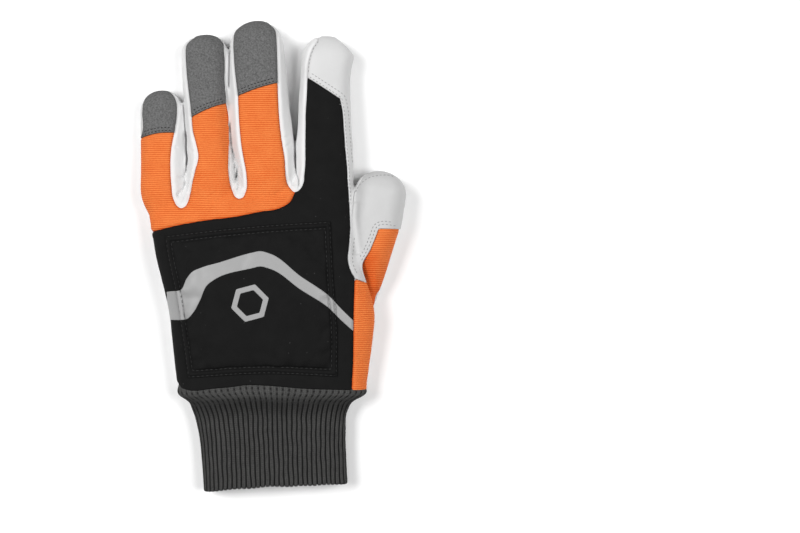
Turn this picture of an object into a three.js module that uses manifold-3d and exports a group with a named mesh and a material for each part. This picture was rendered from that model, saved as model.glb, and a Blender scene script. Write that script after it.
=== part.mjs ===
// A left-hand chainsaw glove lying palm down: a hollow leather and fabric hand with a rib-knit cuff.
// Millimetres. X runs to the thumb side, Y to the fingertips and Z up. While it is built, the wrist
// seam lies at y = 0 and the hand's own axis at x = 0. At the end the whole glove is moved so that
// the origin is the middle of its footprint, on the surface that it lies on.

import * as THREE from 'three';
import { mergeVertices } from 'three/addons/utils/BufferGeometryUtils.js';
import Module from 'manifold-3d';

const wasm = await Module();
wasm.setup();

// Hand body
const palmLength = 120; // wrist seam to the finger slits
const palmWidth = 120;
const palmThickness = 30;
const wristWidth = 108;
const wristThickness = 24;

// Fingers and thumb
const littleLength = 62;
const littleWidth = 26;
const littleThickness = 19;
const ringLength = 91;
const ringWidth = 26.5;
const ringThickness = 21;
const middleLength = 94;
const middleWidth = 34;
const middleThickness = 22.5;
const indexLength = 87;
const indexWidth = 31;
const indexThickness = 22;
const thumbLength = 86.5;
const thumbWidth = 29;
const thumbThickness = 25;

// Cuff
const cuffLength = 58;
const cuffWidth = 83;
const cuffThickness = 20;
const cuffWall = 2.4;
const ribCount = 68;
const ribDepth = 0.8;

// Cloth, leather and seams
const wall = 1.6;
const seamGap = 0.3; // between two pieces that are sewn together
const sideSeamHeight = 8.5; // floor to the seam of the palm leather with the finger side strips
const padRise = 2.2; // how far the protective pad stands above the back
const padBorder = 4; // width of the flat stitched border round the pad
const padBorderRise = 0.7;
const filmThickness = 0.6; // reflective film
const badgeRadius = 11;
const badgeBand = 3.4;

// How round the sections are: 2 is an ellipse, and more is boxier.
const fingerBoxiness = 2.4;
const palmBoxiness = 2.8;
const cuffBoxiness = 2.7;
const fingerSides = 14;
const palmSides = 24;
const cuffInnerSides = 20;
const middlePlane = 0.42; // height of the widest line, as a share from the underside to the top
const restingSink = 1.5; // the rounded underside is pressed flat by this much
const knuckleSlope = 0.13; // the finger slits start further from the wrist on the thumb side
const wristLeft = -0.44; // the two ends of the wrist section, as shares of its width
const wristRight = 0.556;
const tipTurns = [0, 24, 46, 66, 83]; // degrees round a fingertip where a section stands

// Sections of the hand body. at is a share of the palm length, left and right of its width, top and
// lift (how far the arched underside is off the surface) of its thickness.
const palmRows = [
  { at: 0.1, left: -0.412, right: 0.514, top: 0.84, lift: 0 },
  { at: 0.22, left: -0.426, right: 0.53, top: 0.9, lift: 0 },
  { at: 0.38, left: -0.445, right: 0.542, top: 0.97, lift: 0 },
  { at: 0.48, left: -0.467, right: 0.518, top: 1.0, lift: 0.03 },
  { at: 0.57, left: -0.49, right: 0.492, top: 1.0, lift: 0.07 },
  { at: 0.67, left: -0.512, right: 0.47, top: 0.98, lift: 0.11 },
  { at: 0.76, left: -0.526, right: 0.455, top: 0.95, lift: 0.14 },
  { at: 0.84, left: -0.54, right: 0.448, top: 0.9, lift: 0.15 },
  { at: 0.9, left: -0.55, right: 0.443, top: 0.82, lift: 0.16 },
  { at: 0.96, left: -0.555, right: 0.438, top: 0.7, lift: 0.18 },
  { at: 1.0, left: -0.55, right: 0.43, top: 0.52, lift: 0.22 },
];

// Sections of each finger. at is a share of its length from its root, left and right are shares of
// its width from its axis, top and lift of its thickness.
const littleRows = [
  { at: -0.3, left: -0.14, right: 0.28, top: 0.9, lift: 0.3 },
  { at: 0.0, left: -0.485, right: 0.475, top: 1.14, lift: 0.2 },
  { at: 0.25, left: -0.5, right: 0.487, top: 1.08, lift: 0.14 },
  { at: 0.5, left: -0.487, right: 0.49, top: 1.0, lift: 0.06 },
  { at: 0.75, left: -0.472, right: 0.488, top: 0.96, lift: 0 },
];
const ringRows = [
  { at: -0.3, left: -0.36, right: 0.36, top: 0.9, lift: 0.3 },
  { at: 0.0, left: -0.52, right: 0.52, top: 1.14, lift: 0.22 },
  { at: 0.15, left: -0.515, right: 0.5, top: 1.12, lift: 0.2 },
  { at: 0.27, left: -0.51, right: 0.45, top: 1.08, lift: 0.17 },
  { at: 0.5, left: -0.52, right: 0.43, top: 1.02, lift: 0.1 },
  { at: 0.68, left: -0.545, right: 0.425, top: 0.97, lift: 0.03 },
  { at: 0.86, left: -0.545, right: 0.455, top: 0.92, lift: 0 },
];
const middleRows = [
  { at: -0.3, left: -0.34, right: 0.34, top: 0.9, lift: 0.3 },
  { at: 0.0, left: -0.46, right: 0.46, top: 1.12, lift: 0.22 },
  { at: 0.15, left: -0.5, right: 0.475, top: 1.1, lift: 0.2 },
  { at: 0.27, left: -0.53, right: 0.485, top: 1.07, lift: 0.17 },
  { at: 0.5, left: -0.535, right: 0.455, top: 1.02, lift: 0.1 },
  { at: 0.7, left: -0.51, right: 0.44, top: 0.97, lift: 0.03 },
  { at: 0.85, left: -0.475, right: 0.43, top: 0.93, lift: 0 },
];
const indexRows = [
  { at: -0.35, left: -0.34, right: 0.22, top: 0.9, lift: 0.3 },
  { at: 0.0, left: -0.5, right: 0.52, top: 1.12, lift: 0.2 },
  { at: 0.2, left: -0.515, right: 0.52, top: 1.08, lift: 0.17 },
  { at: 0.4, left: -0.505, right: 0.485, top: 1.03, lift: 0.12 },
  { at: 0.6, left: -0.475, right: 0.465, top: 0.98, lift: 0.06 },
  { at: 0.75, left: -0.435, right: 0.475, top: 0.94, lift: 0.02 },
  { at: 0.87, left: -0.425, right: 0.535, top: 0.9, lift: 0 },
];
const thumbRows = [
  { at: -0.12, left: -0.25, right: -0.05, top: 0.36, lift: 0.12 },
  { at: 0.1, left: -0.42, right: 0.225, top: 0.62, lift: 0.1 },
  { at: 0.22, left: -0.45, right: 0.3, top: 0.72, lift: 0.1 },
  { at: 0.34, left: -0.46, right: 0.362, top: 0.82, lift: 0.08 },
  { at: 0.48, left: -0.47, right: 0.418, top: 0.92, lift: 0.04 },
  { at: 0.61, left: -0.48, right: 0.48, top: 0.98, lift: 0 },
  { at: 0.72, left: -0.49, right: 0.508, top: 1.0, lift: 0 },
  { at: 0.81, left: -0.49, right: 0.522, top: 0.98, lift: 0 },
];

// Seams on the back of each finger, in the same shares.
const littleSeams = [
  { at: 0.0, left: -0.385, right: 0.25 },
  { at: 0.12, left: -0.427, right: 0.219 },
  { at: 0.3, left: -0.424, right: 0.205 },
  { at: 0.46, left: -0.413, right: 0.235 },
  { at: 0.6, left: -0.398, right: 0.31 },
  { at: 0.8, left: -0.375, right: 0.388 },
  { at: 0.89, left: -0.34, right: 0.365 },
  { at: 0.95, left: -0.23, right: 0.28 },
];
const ringSeams = [
  { at: 0.0, left: -0.45, right: 0.47 },
  { at: 0.06, left: -0.41, right: 0.437 },
  { at: 0.14, left: -0.325, right: 0.415 },
  { at: 0.22, left: -0.24, right: 0.425 },
  { at: 0.31, left: -0.285, right: 0.44 },
  { at: 0.39, left: -0.352, right: 0.445 },
  { at: 0.55, left: -0.392, right: 0.41 },
  { at: 0.7, left: -0.44, right: 0.395 },
  { at: 0.8, left: -0.46, right: 0.4 },
  { at: 0.88, left: -0.446, right: 0.4 },
  { at: 0.93, left: -0.4, right: 0.37 },
  { at: 0.97, left: -0.28, right: 0.29 },
];
const middleSeams = [
  { at: 0.0, left: -0.321, right: 0.37 },
  { at: 0.06, left: -0.323, right: 0.352 },
  { at: 0.15, left: -0.352, right: 0.35 },
  { at: 0.24, left: -0.378, right: 0.325 },
  { at: 0.33, left: -0.389, right: 0.308 },
  { at: 0.55, left: -0.378, right: 0.304 },
  { at: 0.78, left: -0.405, right: 0.325 },
  { at: 0.87, left: -0.396, right: 0.33 },
  { at: 0.93, left: -0.354, right: 0.305 },
  { at: 0.97, left: -0.245, right: 0.24 },
];
const indexSeams = [
  { at: 0.0, left: -0.395, right: 0.442 },
  { at: 0.12, left: -0.362, right: 0.425 },
  { at: 0.25, left: -0.355, right: 0.391 },
  { at: 0.38, left: -0.356, right: 0.361 },
  { at: 0.5, left: -0.354, right: 0.334 },
  { at: 0.577, left: -0.341, right: 0.29 },
  { at: 0.72, left: -0.328, right: 0.29 },
  { at: 0.82, left: -0.31, right: 0.29 },
  { at: 0.92, left: -0.22, right: 0.29 },
  { at: 0.97, left: -0.13, right: 0.29 },
];

// Each finger stands on the hand body: root shares are of the palm's width and length, lean is in
// degrees towards the thumb side, and tipLength is the rounded end as a share of the finger's width.
const little = {
  length: littleLength, width: littleWidth, thickness: littleThickness, rows: littleRows,
  seams: littleSeams, rootAcross: -0.464, rootAlong: 0.917, lean: -1.5, tipLength: 0.48,
};
const ring = {
  length: ringLength, width: ringWidth, thickness: ringThickness, rows: ringRows,
  seams: ringSeams, rootAcross: -0.233, rootAlong: 0.942, lean: -2.2, tipLength: 0.42,
};
const middle = {
  length: middleLength, width: middleWidth, thickness: middleThickness, rows: middleRows,
  seams: middleSeams, rootAcross: 0.029, rootAlong: 0.983, lean: -3.7, tipLength: 0.44,
};
const index = {
  length: indexLength, width: indexWidth, thickness: indexThickness, rows: indexRows,
  seams: indexSeams, rootAcross: 0.304, rootAlong: 0.967, lean: 0.2, tipLength: 0.42,
};
const thumb = {
  length: thumbLength, width: thumbWidth, thickness: thumbThickness, rows: thumbRows,
  rootAcross: 0.471, rootAlong: 0.333, lean: 9, tipLength: 0.43,
};

// Where the suede tip caps start, as shares of the finger's length at its two seams.
const capLines = {
  little: { left: 0.556, middle: 0.592, right: 0.597 },
  ring: { left: 0.473, middle: 0.522, right: 0.557 },
  middle: { left: 0.54, middle: 0.578, right: 0.606 },
};

// Lines on the hand body. across is a share of the palm's width and along of its length.
const knuckleLine = [
  { across: -0.502, along: 0.758 },
  { across: -0.375, along: 0.788 },
  { across: -0.28, along: 0.805 },
  { across: -0.09, along: 0.831 },
  { across: 0.003, along: 0.85 },
  { across: 0.098, along: 0.868 },
  { across: 0.145, along: 0.897 },
  { across: 0.168, along: 0.935 },
];
const backLeftEdge = [
  { across: -0.387, along: 0.0 },
  { across: -0.407, along: 0.195 },
  { across: -0.422, along: 0.36 },
  { across: -0.443, along: 0.478 },
  { across: -0.472, along: 0.598 },
  { across: -0.486, along: 0.668 },
];
const knuckleLeftEdge = [
  { across: -0.512, along: 0.801 },
  { across: -0.535, along: 0.882 },
];
const backRightEdge = [
  { across: 0.437, along: 0.0 },
  { across: 0.443, along: 0.1 },
  { across: 0.448, along: 0.384 },
  { across: 0.453, along: 0.531 },
];
const hookEdge = [
  { across: 0.436, along: 0.559 },
  { across: 0.419, along: 0.612 },
  { across: 0.424, along: 0.693 },
  { across: 0.429, along: 0.773 },
];
const indexSideEdge = [
  { across: 0.425, along: 0.87 },
];
const hookTip = { across: 0.505, along: 0.512 };
const thumbFold = [
  { across: 0.488, along: 0.602 },
];
const thumbSeam = [
  { across: 0.522, along: 0.664 },
  { across: 0.55, along: 0.731 },
  { across: 0.564, along: 0.768 },
];
const thumbCrotch = [
  { across: 0.446, along: 0.94 },
  { across: 0.436, along: 0.86 },
];
const gussetFoot = { across: 0.545, along: 0.385 };
const slitFeet = {
  littleRing: { across: -0.3625, along: 0.865 },
  ringMiddle: { across: -0.093, along: 0.91 },
  middleIndex: { across: 0.182, along: 0.94 },
};
const padCorners = [
  { across: -0.433, along: 0.729 },
  { across: 0.33, along: 0.8 },
  { across: 0.349, along: 0.55 },
  { across: 0.367, along: 0.29 },
  { across: 0.367, along: 0.083 },
  { across: -0.325, along: 0.078 },
  { across: -0.353, along: 0.268 },
  { across: -0.382, along: 0.479 },
  { across: -0.41, along: 0.611 },
];
// The reflective stripe's two edges, as shares of the palm's length at each share of its width.
const stripeRows = [
  { across: -0.425, upper: 0.472, lower: 0.336 },
  { across: -0.366, upper: 0.482, lower: 0.338 },
  { across: -0.34, upper: 0.532, lower: 0.343 },
  { across: -0.308, upper: 0.568, lower: 0.375 },
  { across: -0.276, upper: 0.582, lower: 0.432 },
  { across: -0.241, upper: 0.594, lower: 0.503 },
  { across: -0.206, upper: 0.603, lower: 0.529 },
  { across: -0.03, upper: 0.655, lower: 0.582 },
  { across: 0.006, upper: 0.662, lower: 0.59 },
  { across: 0.057, upper: 0.649, lower: 0.578 },
  { across: 0.194, upper: 0.547, lower: 0.484 },
  { across: 0.34, upper: 0.442, lower: 0.385 },
  { across: 0.378, upper: 0.4, lower: 0.345 },
  { across: 0.43, upper: 0.345, lower: 0.295 },
];
const badgePlace = { across: -0.04, along: 0.418, turn: 15 };

// Wrist seam and cuff mouth, as shares of the wrist's and cuff's width and of the cuff's length.
const wristLine = [
  { end: -1, drop: 0.02 },
  { across: -0.34, drop: 0.03 },
  { across: -0.1, drop: -0.035 },
  { across: 0.2, drop: -0.01 },
  { end: 1, drop: 0.02 },
];
const mouthLine = [
  { end: -1, drop: 1.0 },
  { across: -0.37, drop: 1.0 },
  { across: -0.12, drop: 0.965 },
  { across: 0.55, drop: 0.94 },
  { end: 1, drop: 0.92 },
];
// The cuff narrows from the wrist seam: left and right are shares of the wrist's width where
// collar is true and of the cuff's width elsewhere.
const cuffRows = [
  { at: -0.08, left: -0.44, right: 0.556, top: 1.0, collar: true },
  { at: 0.05, left: -0.433, right: 0.55, top: 1.0, collar: true },
  { at: 0.11, left: -0.505, right: 0.64, top: 1.1 },
  { at: 0.2, left: -0.474, right: 0.6, top: 1.03 },
  { at: 0.4, left: -0.435, right: 0.586, top: 1.0 },
  { at: 0.7, left: -0.41, right: 0.591, top: 0.98 },
  { at: 1.1, left: -0.39, right: 0.606, top: 1.05 },
];

const above = 100; // higher than any part of the glove
const beyondTip = 1.3; // a station past a fingertip, as a share of the finger's length
const stripFoot = 3; // how far a side strip runs on below the foot of its slit
const snapGrid = 2e-3;
const aside = 40; // wider than any piece stands out of its outline

// Small helpers

const radians = THREE.MathUtils.degToRad;

function onHand({ across, along }) {
  return new THREE.Vector2(across * palmWidth, along * palmLength);
}

function signedPower(value, power) {
  return Math.sign(value) * Math.abs(value) ** power;
}

// The values of a table between two of its rows.
function readRow(rows, at, columns) {
  const next = rows.findIndex((row) => row.at >= at);
  if (next === 0) return rows[0];
  if (next < 0) return rows.at(-1);
  const before = rows[next - 1];
  const after = rows[next];
  const share = (at - before.at) / (after.at - before.at);
  const read = {};
  for (const column of columns) read[column] = THREE.MathUtils.lerp(before[column], after[column], share);
  return read;
}

function solidFromGeometry(geometry, grid = 1e-4) {
  const bare = geometry.clone();
  bare.deleteAttribute('normal');
  bare.deleteAttribute('uv');
  const merged = mergeVertices(bare, grid);
  return new wasm.Manifold(new wasm.Mesh({
    numProp: 3,
    vertProperties: merged.attributes.position.array,
    triVerts: new Uint32Array(merged.index.array),
  }));
}

function geometryFromSolid(solid) {
  const mesh = solid.getMesh();
  const geometry = new THREE.BufferGeometry();
  const positions = new Float32Array(mesh.numVert * 3);
  for (let i = 0; i < mesh.numVert; i++) {
    positions.set(mesh.vertProperties.subarray(i * mesh.numProp, i * mesh.numProp + 3), i * 3);
  }
  geometry.setAttribute('position', new THREE.BufferAttribute(positions, 3));
  geometry.setIndex(new THREE.BufferAttribute(new Uint32Array(mesh.triVerts), 1));
  const flat = geometry.toNonIndexed();
  flat.computeVertexNormals();
  return flat;
}

// A closed solid through rings of equally many points.
function loft(rings) {
  const sides = rings[0].length;
  const positions = rings.flat().flatMap((p) => [p.x, p.y, p.z]);
  const triangles = [];
  for (let r = 0; r + 1 < rings.length; r++) {
    for (let k = 0; k < sides; k++) {
      const a = r * sides + k;
      const b = r * sides + ((k + 1) % sides);
      triangles.push(a, a + sides, b, b, a + sides, b + sides);
    }
  }
  const last = (rings.length - 1) * sides;
  for (let k = 1; k + 1 < sides; k++) {
    triangles.push(0, k, k + 1);
    triangles.push(last, last + k + 1, last + k);
  }
  const geometry = new THREE.BufferGeometry();
  geometry.setAttribute('position', new THREE.Float32BufferAttribute(positions, 3));
  geometry.setIndex(triangles);
  return solidFromGeometry(geometry);
}

// An upright prism over an outline in plan.
function prism(outline, from = -above, to = above) {
  const ordered = THREE.ShapeUtils.isClockWise(outline) ? [...outline].reverse() : outline;
  const geometry = new THREE.ExtrudeGeometry(new THREE.Shape(ordered), { depth: to - from, bevelEnabled: false });
  geometry.translate(0, 0, from);
  return solidFromGeometry(geometry);
}

// The outline moved inwards by a distance, or outwards by a negative one.
function inset(outline, distance) {
  const ordered = THREE.ShapeUtils.isClockWise(outline) ? [...outline].reverse() : outline;
  return ordered.map((point, i) => {
    const before = ordered[(i + ordered.length - 1) % ordered.length];
    const after = ordered[(i + 1) % ordered.length];
    const inwardBefore = new THREE.Vector2(before.y - point.y, point.x - before.x).normalize();
    const inwardAfter = new THREE.Vector2(point.y - after.y, after.x - point.x).normalize();
    const bisector = inwardBefore.clone().add(inwardAfter);
    const reach = 2 / Math.max(bisector.lengthSq(), 0.5);
    return point.clone().addScaledVector(bisector, distance * reach);
  });
}

// A smooth curve through plan points, with a few points for each stretch.
function smooth(points, perStretch = 2) {
  return new THREE.SplineCurve(points).getPoints((points.length - 1) * perStretch);
}

function biggestBody(solid) {
  return solid.decompose().reduce((most, body) => (body.volume() > most.volume() ? body : most));
}

// One closed body without slivers: vertices closer than the grid are made one.
function cleaned(solid) {
  return biggestBody(solidFromGeometry(geometryFromSolid(biggestBody(solid)), snapGrid));
}

// Hand body and fingers

// One ring of a section across the hand, a finger or the cuff, grown by a distance all round.
// share is below 1 towards a fingertip, where the ring closes in on its own middle.
function sectionRing({ left, right, top, lift = 0, share = 1, grow, sides, boxiness, place }) {
  const floor = lift + Math.max(-grow, 0);
  const widest = THREE.MathUtils.lerp(lift, top, middlePlane);
  const ring = [];
  for (let k = 0; k < sides; k++) {
    const angle = (2 * Math.PI * (k + 0.5)) / sides;
    const run = share * signedPower(Math.cos(angle), 2 / boxiness);
    const rise = share * signedPower(Math.sin(angle), 2 / boxiness);
    const across = run * ((run > 0 ? right : -left) + grow);
    const up = rise * ((rise > 0 ? top - widest : widest - lift + restingSink) + grow);
    ring.push(place(across, Math.max(widest + up, floor)));
  }
  return ring;
}

// A point in plan at a share of a finger's length and of its width from its axis.
function onFinger(finger, at, across, longer = 0) {
  const lean = radians(finger.lean);
  const root = onHand({ across: finger.rootAcross, along: finger.rootAlong });
  const reach = at * (finger.length + longer);
  const side = across * finger.width;
  return new THREE.Vector2(
    root.x + reach * Math.sin(lean) + side * Math.cos(lean),
    root.y + reach * Math.cos(lean) - side * Math.sin(lean),
  );
}

function fingerSolid(finger, grow) {
  const tip = (finger.tipLength * finger.width) / finger.length;
  const stations = finger.rows.filter((row) => row.at < 1 - tip).map((row) => ({ at: row.at, share: 1 }));
  for (const turn of tipTurns) {
    const angle = radians(turn);
    stations.push({ at: 1 - tip + tip * Math.sin(angle), share: Math.cos(angle) });
  }
  return loft(stations.map(({ at, share }) => {
    const row = readRow(finger.rows, at, ['left', 'right', 'top', 'lift']);
    return sectionRing({
      left: row.left * finger.width,
      right: row.right * finger.width,
      top: row.top * finger.thickness,
      lift: row.lift * finger.thickness,
      share,
      grow,
      sides: fingerSides,
      boxiness: fingerBoxiness,
      place: (across, height) => {
        const plan = onFinger(finger, at, across / finger.width, grow);
        return new THREE.Vector3(plan.x, plan.y, height);
      },
    });
  }));
}

function palmSolid(grow) {
  const wrist = {
    left: (wristLeft * wristWidth) / palmWidth,
    right: (wristRight * wristWidth) / palmWidth,
    top: wristThickness / palmThickness,
    lift: 0,
  };
  const rows = [{ at: -0.08, ...wrist }, { at: 0, ...wrist }, ...palmRows];
  const rings = rows.map((row) => sectionRing({
    left: row.left * palmWidth,
    right: row.right * palmWidth,
    top: row.top * palmThickness,
    lift: row.lift * palmThickness,
    grow,
    sides: palmSides,
    boxiness: palmBoxiness,
    place: (across, height) => {
      const slope = Math.max(row.at - 0.5, 0) * 2 * knuckleSlope;
      return new THREE.Vector3(across, row.at * palmLength + slope * across, height);
    },
  }));
  return loft(rings);
}

// The whole hand as one closed form, grown by a distance.
function hand(grow) {
  return [little, ring, middle, index, thumb]
    .map((finger) => fingerSolid(finger, grow))
    .reduce((whole, finger) => whole.add(finger), palmSolid(grow));
}

// Seam outlines in plan

function seamSide(finger, side, from, to) {
  const between = finger.seams.filter((row) => row.at > from + 0.02 && row.at < to - 0.02);
  const ends = [from, to].map((at) => ({ at, ...readRow(finger.seams, at, ['left', 'right']) }));
  return [ends[0], ...between, ends[1]].map((row) => onFinger(finger, row.at, row[side]));
}

function capLine(finger, line) {
  const seams = readRow(finger.seams, line.middle, ['left', 'right']);
  return onFinger(finger, line.middle, (seams.left + seams.right) / 2);
}

// A suede cap's outline: over the tip and down both seams to its lower edge.
function capOutline(finger, line) {
  const top = finger.seams.at(-1);
  return [
    ...seamSide(finger, 'left', line.left, top.at),
    onFinger(finger, beyondTip, top.left),
    onFinger(finger, beyondTip, top.right),
    ...seamSide(finger, 'right', line.right, top.at).reverse(),
    capLine(finger, line),
  ];
}

// The round foot of a finger slit, from the right seam of one finger to the left seam of the next.
function slitFoot(from, foot, to) {
  const low = onHand(foot);
  const half = (to.x - from.x) / 2;
  return [
    new THREE.Vector2(low.x - half * 0.72, low.y + half * 0.32),
    low,
    new THREE.Vector2(low.x + half * 0.72, low.y + half * 0.32),
  ];
}

const seamStart = 0.06; // share of a finger's length where its two back seams begin
const littleRight = seamSide(little, 'right', seamStart, capLines.little.right);
const ringLeft = seamSide(ring, 'left', seamStart, capLines.ring.left);
const ringRight = seamSide(ring, 'right', seamStart, capLines.ring.right);
const middleLeft = seamSide(middle, 'left', seamStart, capLines.middle.left);
const middleRight = seamSide(middle, 'right', seamStart, capLines.middle.right);
const tipLine = { left: 0.72, right: 0.577 };
const indexLeft = seamSide(index, 'left', seamStart, tipLine.left);
const indexRight = seamSide(index, 'right', seamStart, tipLine.right);
const slitLittleRing = slitFoot(littleRight[0], slitFeet.littleRing, ringLeft[0]);
const slitRingMiddle = slitFoot(ringRight[0], slitFeet.ringMiddle, middleLeft[0]);
const slitMiddleIndex = slitFoot(middleRight[0], slitFeet.middleIndex, indexLeft[0]);
const knuckles = smooth(knuckleLine.map(onHand));
const farRight = Math.max(palmWidth, wristWidth) / 2 + aside;
const wristAcross = (p) => (p.end ? p.end * farRight : p.across * wristWidth);
const wristSeam = wristLine.map((p) => new THREE.Vector2(wristAcross(p), -p.drop * cuffLength));
const wristAt = (x) => {
  const next = wristSeam.findIndex((p) => p.x >= x);
  const [a, b] = [wristSeam[next - 1], wristSeam[next]];
  return new THREE.Vector2(x, THREE.MathUtils.mapLinear(x, a.x, b.x, a.y, b.y));
};
const wristBetween = (from, to) => [
  wristAt(from),
  ...wristSeam.filter((p) => p.x > from + 1 && p.x < to - 1),
  wristAt(to),
];

const knuckleOutline = [
  ...knuckleLeftEdge.map(onHand),
  ...seamSide(little, 'left', seamStart, capLines.little.left),
  capLine(little, capLines.little),
  ...[...littleRight].reverse(),
  ...slitLittleRing,
  ...ringLeft,
  capLine(ring, capLines.ring),
  ...[...ringRight].reverse(),
  ...slitRingMiddle,
  ...middleLeft,
  capLine(middle, capLines.middle),
  ...[...middleRight].reverse(),
  slitMiddleIndex[0],
  ...[...knuckles].reverse(),
];
const leftEdge = backLeftEdge.map(onHand);
const rightEdge = backRightEdge.map(onHand);
const backOutline = [
  ...leftEdge.slice(1),
  ...knuckles,
  ...slitMiddleIndex.slice(1),
  ...indexLeft,
  ...[...indexRight].reverse(),
  ...indexSideEdge.map(onHand),
  ...hookEdge.map(onHand).reverse(),
  ...rightEdge.slice(1).reverse(),
  ...wristBetween(leftEdge[0].x, rightEdge[0].x).reverse(),
];
const crotch = thumbCrotch.map(onHand);
const indexWrapOutline = [
  ...seamSide(index, 'left', tipLine.left, 0.97),
  onFinger(index, beyondTip, -0.05),
  onFinger(index, beyondTip, 0.9),
  new THREE.Vector2(crotch[0].x + index.width * 0.35, crotch[0].y + index.width * 0.6),
  ...crotch,
  onHand(hookEdge.at(-1)),
  ...indexSideEdge.map(onHand),
  ...indexRight,
];
const thumbTop = onFinger(thumb, beyondTip, 0).y;
const thumbLeatherOutline = [
  onHand(backRightEdge[3]),
  ...hookEdge.map(onHand),
  ...[...crotch].reverse(),
  new THREE.Vector2(crotch[0].x + index.width * 0.35, crotch[0].y + index.width * 0.6),
  new THREE.Vector2(onFinger(thumb, 1, 0).x, thumbTop),
  new THREE.Vector2(farRight, thumbTop),
  new THREE.Vector2(farRight, onHand(thumbSeam[2]).y),
  ...thumbSeam.map(onHand).reverse(),
  ...thumbFold.map(onHand),
  onHand(hookTip),
];
const thumbBackOutline = [
  onHand(hookTip),
  ...thumbFold.map(onHand),
  ...thumbSeam.map(onHand),
  new THREE.Vector2(farRight, onHand(thumbSeam[2]).y),
  new THREE.Vector2(farRight, onHand(gussetFoot).y),
  onHand(gussetFoot),
];
const gussetOutline = [
  ...rightEdge.slice(1),
  onHand(hookTip),
  onHand(gussetFoot),
  new THREE.Vector2(farRight, onHand(gussetFoot).y),
  ...wristBetween(rightEdge[0].x, farRight).reverse(),
];
const padOutline = padCorners.map(onHand);
const stripeOutline = [
  ...stripeRows.map((p) => onHand({ across: p.across, along: p.upper })),
  ...[...stripeRows].reverse().map((p) => onHand({ across: p.across, along: p.lower })),
];

// Shared solids

const halfGap = seamGap / 2;
const outer = hand(0);
const cavity = hand(-wall);
const handSide = prism([
  ...wristSeam,
  new THREE.Vector2(farRight, palmLength + middleLength * 2),
  new THREE.Vector2(-farRight, palmLength + middleLength * 2),
]);
const shell = outer.subtract(cavity).intersect(handSide);

// The part of the shell inside an outline, above the side seam.
function sewnPiece(outline, from = sideSeamHeight) {
  return shell.intersect(prism(inset(outline, halfGap), from + halfGap));
}

// What the palm leather and the side strips are cut back by round such a piece.
function clearance(outline, from = sideSeamHeight) {
  return prism(inset(outline, -halfGap), from - halfGap);
}

const topOutlines = {
  knuckle_panel: knuckleOutline,
  back_panel: backOutline,
  tip_cap_little: capOutline(little, capLines.little),
  tip_cap_ring: capOutline(ring, capLines.ring),
  tip_cap_middle: capOutline(middle, capLines.middle),
  index_wrap: indexWrapOutline,
  thumb_leather: thumbLeatherOutline,
  thumb_back: thumbBackOutline,
  wrist_gusset: gussetOutline,
};
const topClearances = Object.values(topOutlines).map((outline) => clearance(outline));

// A side strip between two fingers, from the side seam up to the back pieces.
function sideStripZone(from, foot, to) {
  const low = onHand(foot);
  return [
    onFinger(from, 0, 0),
    onFinger(from, beyondTip, 0),
    new THREE.Vector2((onFinger(from, 1, 0).x + onFinger(to, 1, 0).x) / 2, onFinger(middle, beyondTip, 0).y),
    onFinger(to, beyondTip, 0),
    onFinger(to, 0, 0),
    new THREE.Vector2(low.x, low.y - stripFoot),
  ];
}
const stripZones = {
  side_strip_little_ring: sideStripZone(little, slitFeet.littleRing, ring),
  side_strip_ring_middle: sideStripZone(ring, slitFeet.ringMiddle, middle),
  side_strip_middle_index: sideStripZone(middle, slitFeet.middleIndex, index),
};

// Pieces

const solids = {};
for (const [name, outline] of Object.entries(topOutlines)) solids[name] = sewnPiece(outline);

let palm = shell;
for (const solid of topClearances) palm = palm.subtract(solid);
for (const [name, zone] of Object.entries(stripZones)) {
  let strip = shell.intersect(prism(inset(zone, halfGap), sideSeamHeight + halfGap));
  for (const solid of topClearances) strip = strip.subtract(solid);
  solids[name] = strip;
  palm = palm.subtract(prism(inset(zone, -halfGap), sideSeamHeight - halfGap));
}
solids.palm = palm;

// The pad fills a window in the back panel and stands above it, with a lower stitched border.
solids.back_panel = solids.back_panel.subtract(clearance(padOutline));
const padWindow = prism(inset(padOutline, halfGap), sideSeamHeight + palmThickness * middlePlane);
const padTop = prism(inset(padOutline, padBorder), sideSeamHeight + palmThickness * middlePlane);
solids.saw_pad = hand(padBorderRise).intersect(padWindow)
  .add(hand(padRise).intersect(padTop))
  .subtract(cavity);

// Reflective film lies a seam gap above what it covers.
function film(outline, level) {
  const layer = hand(level + seamGap + filmThickness).subtract(hand(level + seamGap));
  return layer.intersect(prism(outline, palmThickness * middlePlane));
}
const stripeLeft = stripeOutline[0].x;
const stripeRight = stripeOutline[stripeRows.length - 1].x;
const innerPad = inset(padOutline, padBorder + seamGap);
const outerPad = inset(padOutline, -halfGap);
solids.stripe_pad = film(stripeOutline, padRise).intersect(prism(innerPad));
const stripeOnBack = film(stripeOutline, 0).subtract(prism(outerPad));
const stripeMiddle = (stripeLeft + stripeRight) / 2;
const leftHalf = prism([
  new THREE.Vector2(-farRight, 0),
  new THREE.Vector2(stripeMiddle, 0),
  new THREE.Vector2(stripeMiddle, palmLength),
  new THREE.Vector2(-farRight, palmLength),
]);
solids.stripe_little_side = stripeOnBack.intersect(leftHalf);
solids.stripe_thumb_side = stripeOnBack.subtract(leftHalf);

// A plain six-sided ring of the same film on the pad.
function hexagon(radius) {
  const centre = onHand(badgePlace);
  return [0, 1, 2, 3, 4, 5].map((k) => {
    const angle = radians(badgePlace.turn + 60 * k);
    return new THREE.Vector2(centre.x + radius * Math.cos(angle), centre.y + radius * Math.sin(angle));
  });
}
solids.badge = film(hexagon(badgeRadius), padRise).subtract(prism(hexagon(badgeRadius - badgeBand)));

// Cuff

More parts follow.
